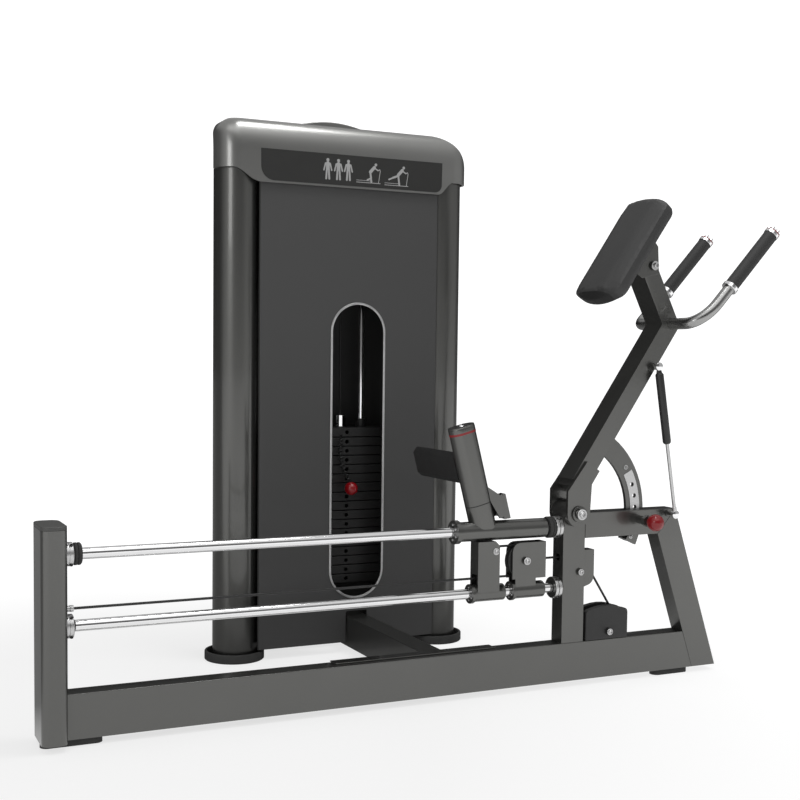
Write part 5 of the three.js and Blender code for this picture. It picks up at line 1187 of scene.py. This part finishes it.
cover_cloth = shaded(
    "grained_cover_end_shade",
    Base_Color=cover_grain_and_end_shade,
    Roughness=lambda f: 0.46 + 0.14 * f.noise(900, 2.0),
    Normal=pebbles,
)


def pad_outline(length, width, bow, corner):
    """Half-way round the pad: straight flanks, a bowed end and its two corners; then mirrored."""
    reach = length / 2 - bow
    half = width / 2
    radius = (half * half + bow * bow) / (2 * bow)
    sweep = math.degrees(math.asin((half - corner) / radius))
    end = arc((length / 2 - radius, 0), radius, -sweep, sweep, 16)
    shoulder = [(reach - corner * 1.1, half), (reach - corner * 0.3, half - corner * 0.18)]
    right = [(x, -y) for x, y in shoulder] + end + shoulder[::-1]
    return right + [(-x, -y) for x, y in right]


def pad_block():
    """Foam block: bowed ends, a long chamfer down each flank, and sides that draw in at the board."""
    return lofted([
        (-pad_depth, pad_outline(pad_length - 0.014, pad_width - 0.012, 0.026, 0.010)),
        (-pad_depth + 0.009, pad_outline(pad_length - 0.003, pad_width - 0.002, 0.027, 0.011)),
        (-pad_chamfer, pad_outline(pad_length, pad_width, 0.027, 0.011)),
        (0.0, pad_outline(face_length, face_width, 0.007, 0.003)),
    ])


def pushed_cover(soft):
    """Where cloth pressure puts the vertices of a soft object after its frames."""
    cloth = soft.modifiers.new("cover", "CLOTH")
    cloth.settings.use_pressure = True
    cloth.settings.uniform_pressure_force = cloth_pressure
    cloth.settings.effector_weights.gravity = 0
    cloth.settings.quality = 6
    cloth.settings.tension_stiffness = 30
    cloth.settings.compression_stiffness = 30
    cloth.settings.bending_stiffness = 6
    cloth.point_cache.frame_start = 1
    cloth.point_cache.frame_end = cloth_frames
    for moment in range(1, cloth_frames + 1):
        bpy.context.scene.frame_set(moment)
    graph = bpy.context.evaluated_depsgraph_get()
    pushed = [v.co.copy() for v in soft.evaluated_get(graph).data.vertices]
    soft.modifiers.remove(cloth)
    bpy.context.scene.frame_set(1)
    return pushed


def swollen(source):
    """Remeshes a soft piece evenly and lets cloth pressure push its cover out, up to a cap."""
    even = source.modifiers.new("even_mesh", "REMESH")
    even.mode = "VOXEL"
    even.voxel_size = remesh_size
    graph = bpy.context.evaluated_depsgraph_get()
    mesh = bpy.data.meshes.new_from_object(source.evaluated_get(graph))
    bpy.data.objects.remove(source)
    soft = bpy.data.objects.new("pad_soft", mesh)
    bpy.context.scene.collection.objects.link(soft)
    rest = [v.co.copy() for v in mesh.vertices]
    for vertex, start, end in zip(soft.data.vertices, rest, pushed_cover(soft)):
        move = end - start
        if move.length > most_swelling:
            move *= most_swelling / move.length
        vertex.co = start + move
    return soft


pad_shape = as_shape(swollen(as_object(pad_block(), "pad_form")))
bmesh.ops.smooth_vert(
    pad_shape, verts=pad_shape.verts, factor=0.3, use_axis_x=True, use_axis_y=True, use_axis_z=True)
for vert in pad_shape.verts:
    vert.co.z = max(vert.co.z, -pad_depth)
bmesh.ops.transform(
    pad_shape, matrix=arm_turn @ Matrix.Translation((pad_along, 0, pad_face)), verts=pad_shape.verts)
chest_pad = piece("chest_cushion", pad_shape, cover_cloth, "arm", ["chest_pad"], crease=80)
fine = chest_pad.modifiers.new("fine", "SUBSURF")
fine.levels = 1
fine.render_levels = 1


# Handles
# One satin steel tube bent into a fork, with a silver collar below each charcoal foam grip, and
# an end plug with a crown of six lobes and a thin red ring.
foam = shaded(
    "foam_grip",
    Base_Color=lambda f: f.between(grey(0.034), grey(0.040), f.noise(220, 2.0)),
    Roughness=lambda f: 0.60 + 0.10 * f.noise(220),
)
satin_steel = mottled(
    "satin_steel", (0.30, 0.30, 0.295), (0.38, 0.38, 0.375), 30, 0.24, 0.06, 200, Metallic=1.0)
handle_tilt = math.radians(8.7)
handle_run = Vector((math.cos(handle_tilt), 0, -math.sin(handle_tilt)))
handle_spread = 0.132
handle_bend = 0.046
handle_tip = 0.252
ring_start = 0.050
grip_start = 0.0613
plug_start = 0.246


def handle_points(side):
    """The tube's bend and tip on one side, in the arm's own axes."""
    end = Vector((0.648, side * handle_spread, 0.010))
    start = Vector((0.566, side * (handle_spread - handle_bend), 0.0368))
    first = start + Vector((0, side * handle_bend * 0.8, 0))
    second = end - handle_run * handle_bend
    bend = []
    for t in [i / 16 for i in range(17)]:
        near = start * (1 - t) ** 3 + first * (3 * t * (1 - t) ** 2)
        bend.append(near + second * (3 * t * t * (1 - t)) + end * t ** 3)
    return bend, end


near_bend, near_end = handle_points(-1)
far_bend, far_end = handle_points(1)
tip = handle_run * handle_tip
fork = [near_end + tip] + near_bend[::-1] + far_bend + [far_end + tip]
fork_route = [arm_turn @ point for point in fork]
tube_piece("handle_fork", fork_route, 0.015, satin_steel, "arm", ["handle_bar"], 10)
run_direction = (arm_turn.to_3x3() @ handle_run).normalized()
crown_side = run_direction.orthogonal().normalized()
crown_top = run_direction.cross(crown_side)
grip_length = plug_start - grip_start
grip_profile = [
    (0, 0.0152), (0, 0.0170), (0.0015, 0.0185), (grip_length - 0.0015, 0.0185), (grip_length, 0.0170),
    (grip_length, 0.0152), (0, 0.0152),
]
ring_profile = [
    (0, 0.0150), (0, 0.0196), (0.0012, 0.0208), (0.0100, 0.0208), (0.0112, 0.0196), (0.0112, 0.0150),
    (0, 0.0150),
]
plug_profile = [
    (0, 0.0), (0, 0.0190), (0.0008, 0.0197), (0.0082, 0.0197), (0.0088, 0.0184), (0.0112, 0.0184),
    (0.0116, 0.0160), (0.0180, 0.0150), (0.0186, 0.0138), (0.0186, 0.0),
]
lobe_profile = [(0, 0), (0, 0.0046), (0.0062, 0.0046), (0.0074, 0.0036), (0.0074, 0)]
band_profile = [
    (0.0087, 0.0183), (0.0087, 0.0194), (0.0113, 0.0194), (0.0113, 0.0183), (0.0087, 0.0183),
]
for side_name, end in [("left", near_end), ("right", far_end)]:
    starts = (ring_start, grip_start, plug_start)
    ring_at, grip_at, plug_at = [arm_turn @ (end + handle_run * start) for start in starts]
    turned(
        f"{side_name}_grip_foam", grip_profile, grip_at, run_direction, 48, foam, "arm",
        [f"{side_name}_grip"])
    bright = bmesh.new()
    spin_in(bright, ring_profile, ring_at, run_direction, 48)
    spin_in(bright, plug_profile, plug_at, run_direction, 48)
    for angle in [math.radians(60 * i) for i in range(6)]:
        lobe_at = plug_at + run_direction * 0.0116
        lobe_at = lobe_at + (crown_side * math.cos(angle) + crown_top * math.sin(angle)) * 0.0152
        spin_in(bright, lobe_profile, lobe_at, run_direction, 20)
    piece(f"{side_name}_grip_ends", settled(bright), chrome, "arm")
    turned(
        f"{side_name}_grip_band", band_profile, plug_at, run_direction, 48, red_gloss, "arm")


# Gas strut
# A black cylinder with a bright rod between two ball studs; it balances the arm.
strut_top = Vector((1.500, -0.055, 0.8287))
strut_foot = Vector((1.565, -0.055, 0.4385))
strut_run = (strut_foot - strut_top).normalized()
strut_length = (strut_foot - strut_top).length
barrel_profile = [
    (0.011, 0), (0.011, 0.0065), (0.018, 0.0078), (0.020, 0.0102), (0.022, 0.0108), (0.199, 0.0108),
    (0.202, 0.0100), (0.205, 0.0075), (0.205, 0.0046), (0.190, 0.0046), (0.190, 0),
]
strut_rod_profile = [
    (0.191, 0), (0.191, 0.0045), (strut_length - 0.020, 0.0045), (strut_length - 0.019, 0.006),
    (strut_length - 0.009, 0.006), (strut_length - 0.008, 0.0045), (strut_length - 0.006, 0),
]
eye_profile = [(-0.006, 0), (-0.006, 0.009), (-0.0048, 0.0108), (0.0048, 0.0108), (0.006, 0.009), (0.006, 0)]
turned(
    "strut_barrel", barrel_profile, strut_top, strut_run, 48, black_plastic, "strut_cylinder",
    ["strut_cylinder"])
turned(
    "strut_bright_rod", strut_rod_profile, strut_top, strut_run, 40, zinc, "strut_rod",
    ["strut_rod"])
turned("strut_top_eye", eye_profile, strut_top, along_y, 40, chrome, "strut_cylinder")
turned("strut_foot_eye", eye_profile, strut_foot, along_y, 40, chrome, "strut_rod")


# Pop pin
# A red ball on a sprung plunger that locks the arm in one of the arc's holes.
pop_x, pop_z = on_circle(hole_circle, hole_angles[3])
turned(
    "pop_plunger", shaft_profile(0.084, 0.0008), (pop_x, 0.0015, pop_z), to_the_front, 32, chrome,
    "pop_pin")
turned(
    "pop_ball", ball_profile(0.022, 0.010), (pop_x, -0.0725, pop_z), to_the_front, 56, red_gloss, "pop_pin",
    ["pop_pin"])


# Bolts on the frame
# Zinc-plated socket bolts on washers hold the base pulley, the upright pulley and the guard.
frame_bolts = bmesh.new()
base_x, _, base_z = wheels["base_pulley"][0]
guard_x, _, guard_z = wheels["upright_pulley"][0]
bolt_in(frame_bolts, (base_x, -0.0325, base_z), to_the_front, 0.0060, 0.0045, 0.0086)
bolts_in(frame_bolts, guard_x, 0.0303, guard_z, 0.0056, 0.0045, 0.0082)
piece("frame_bolts", settled(frame_bolts), zinc, "base")
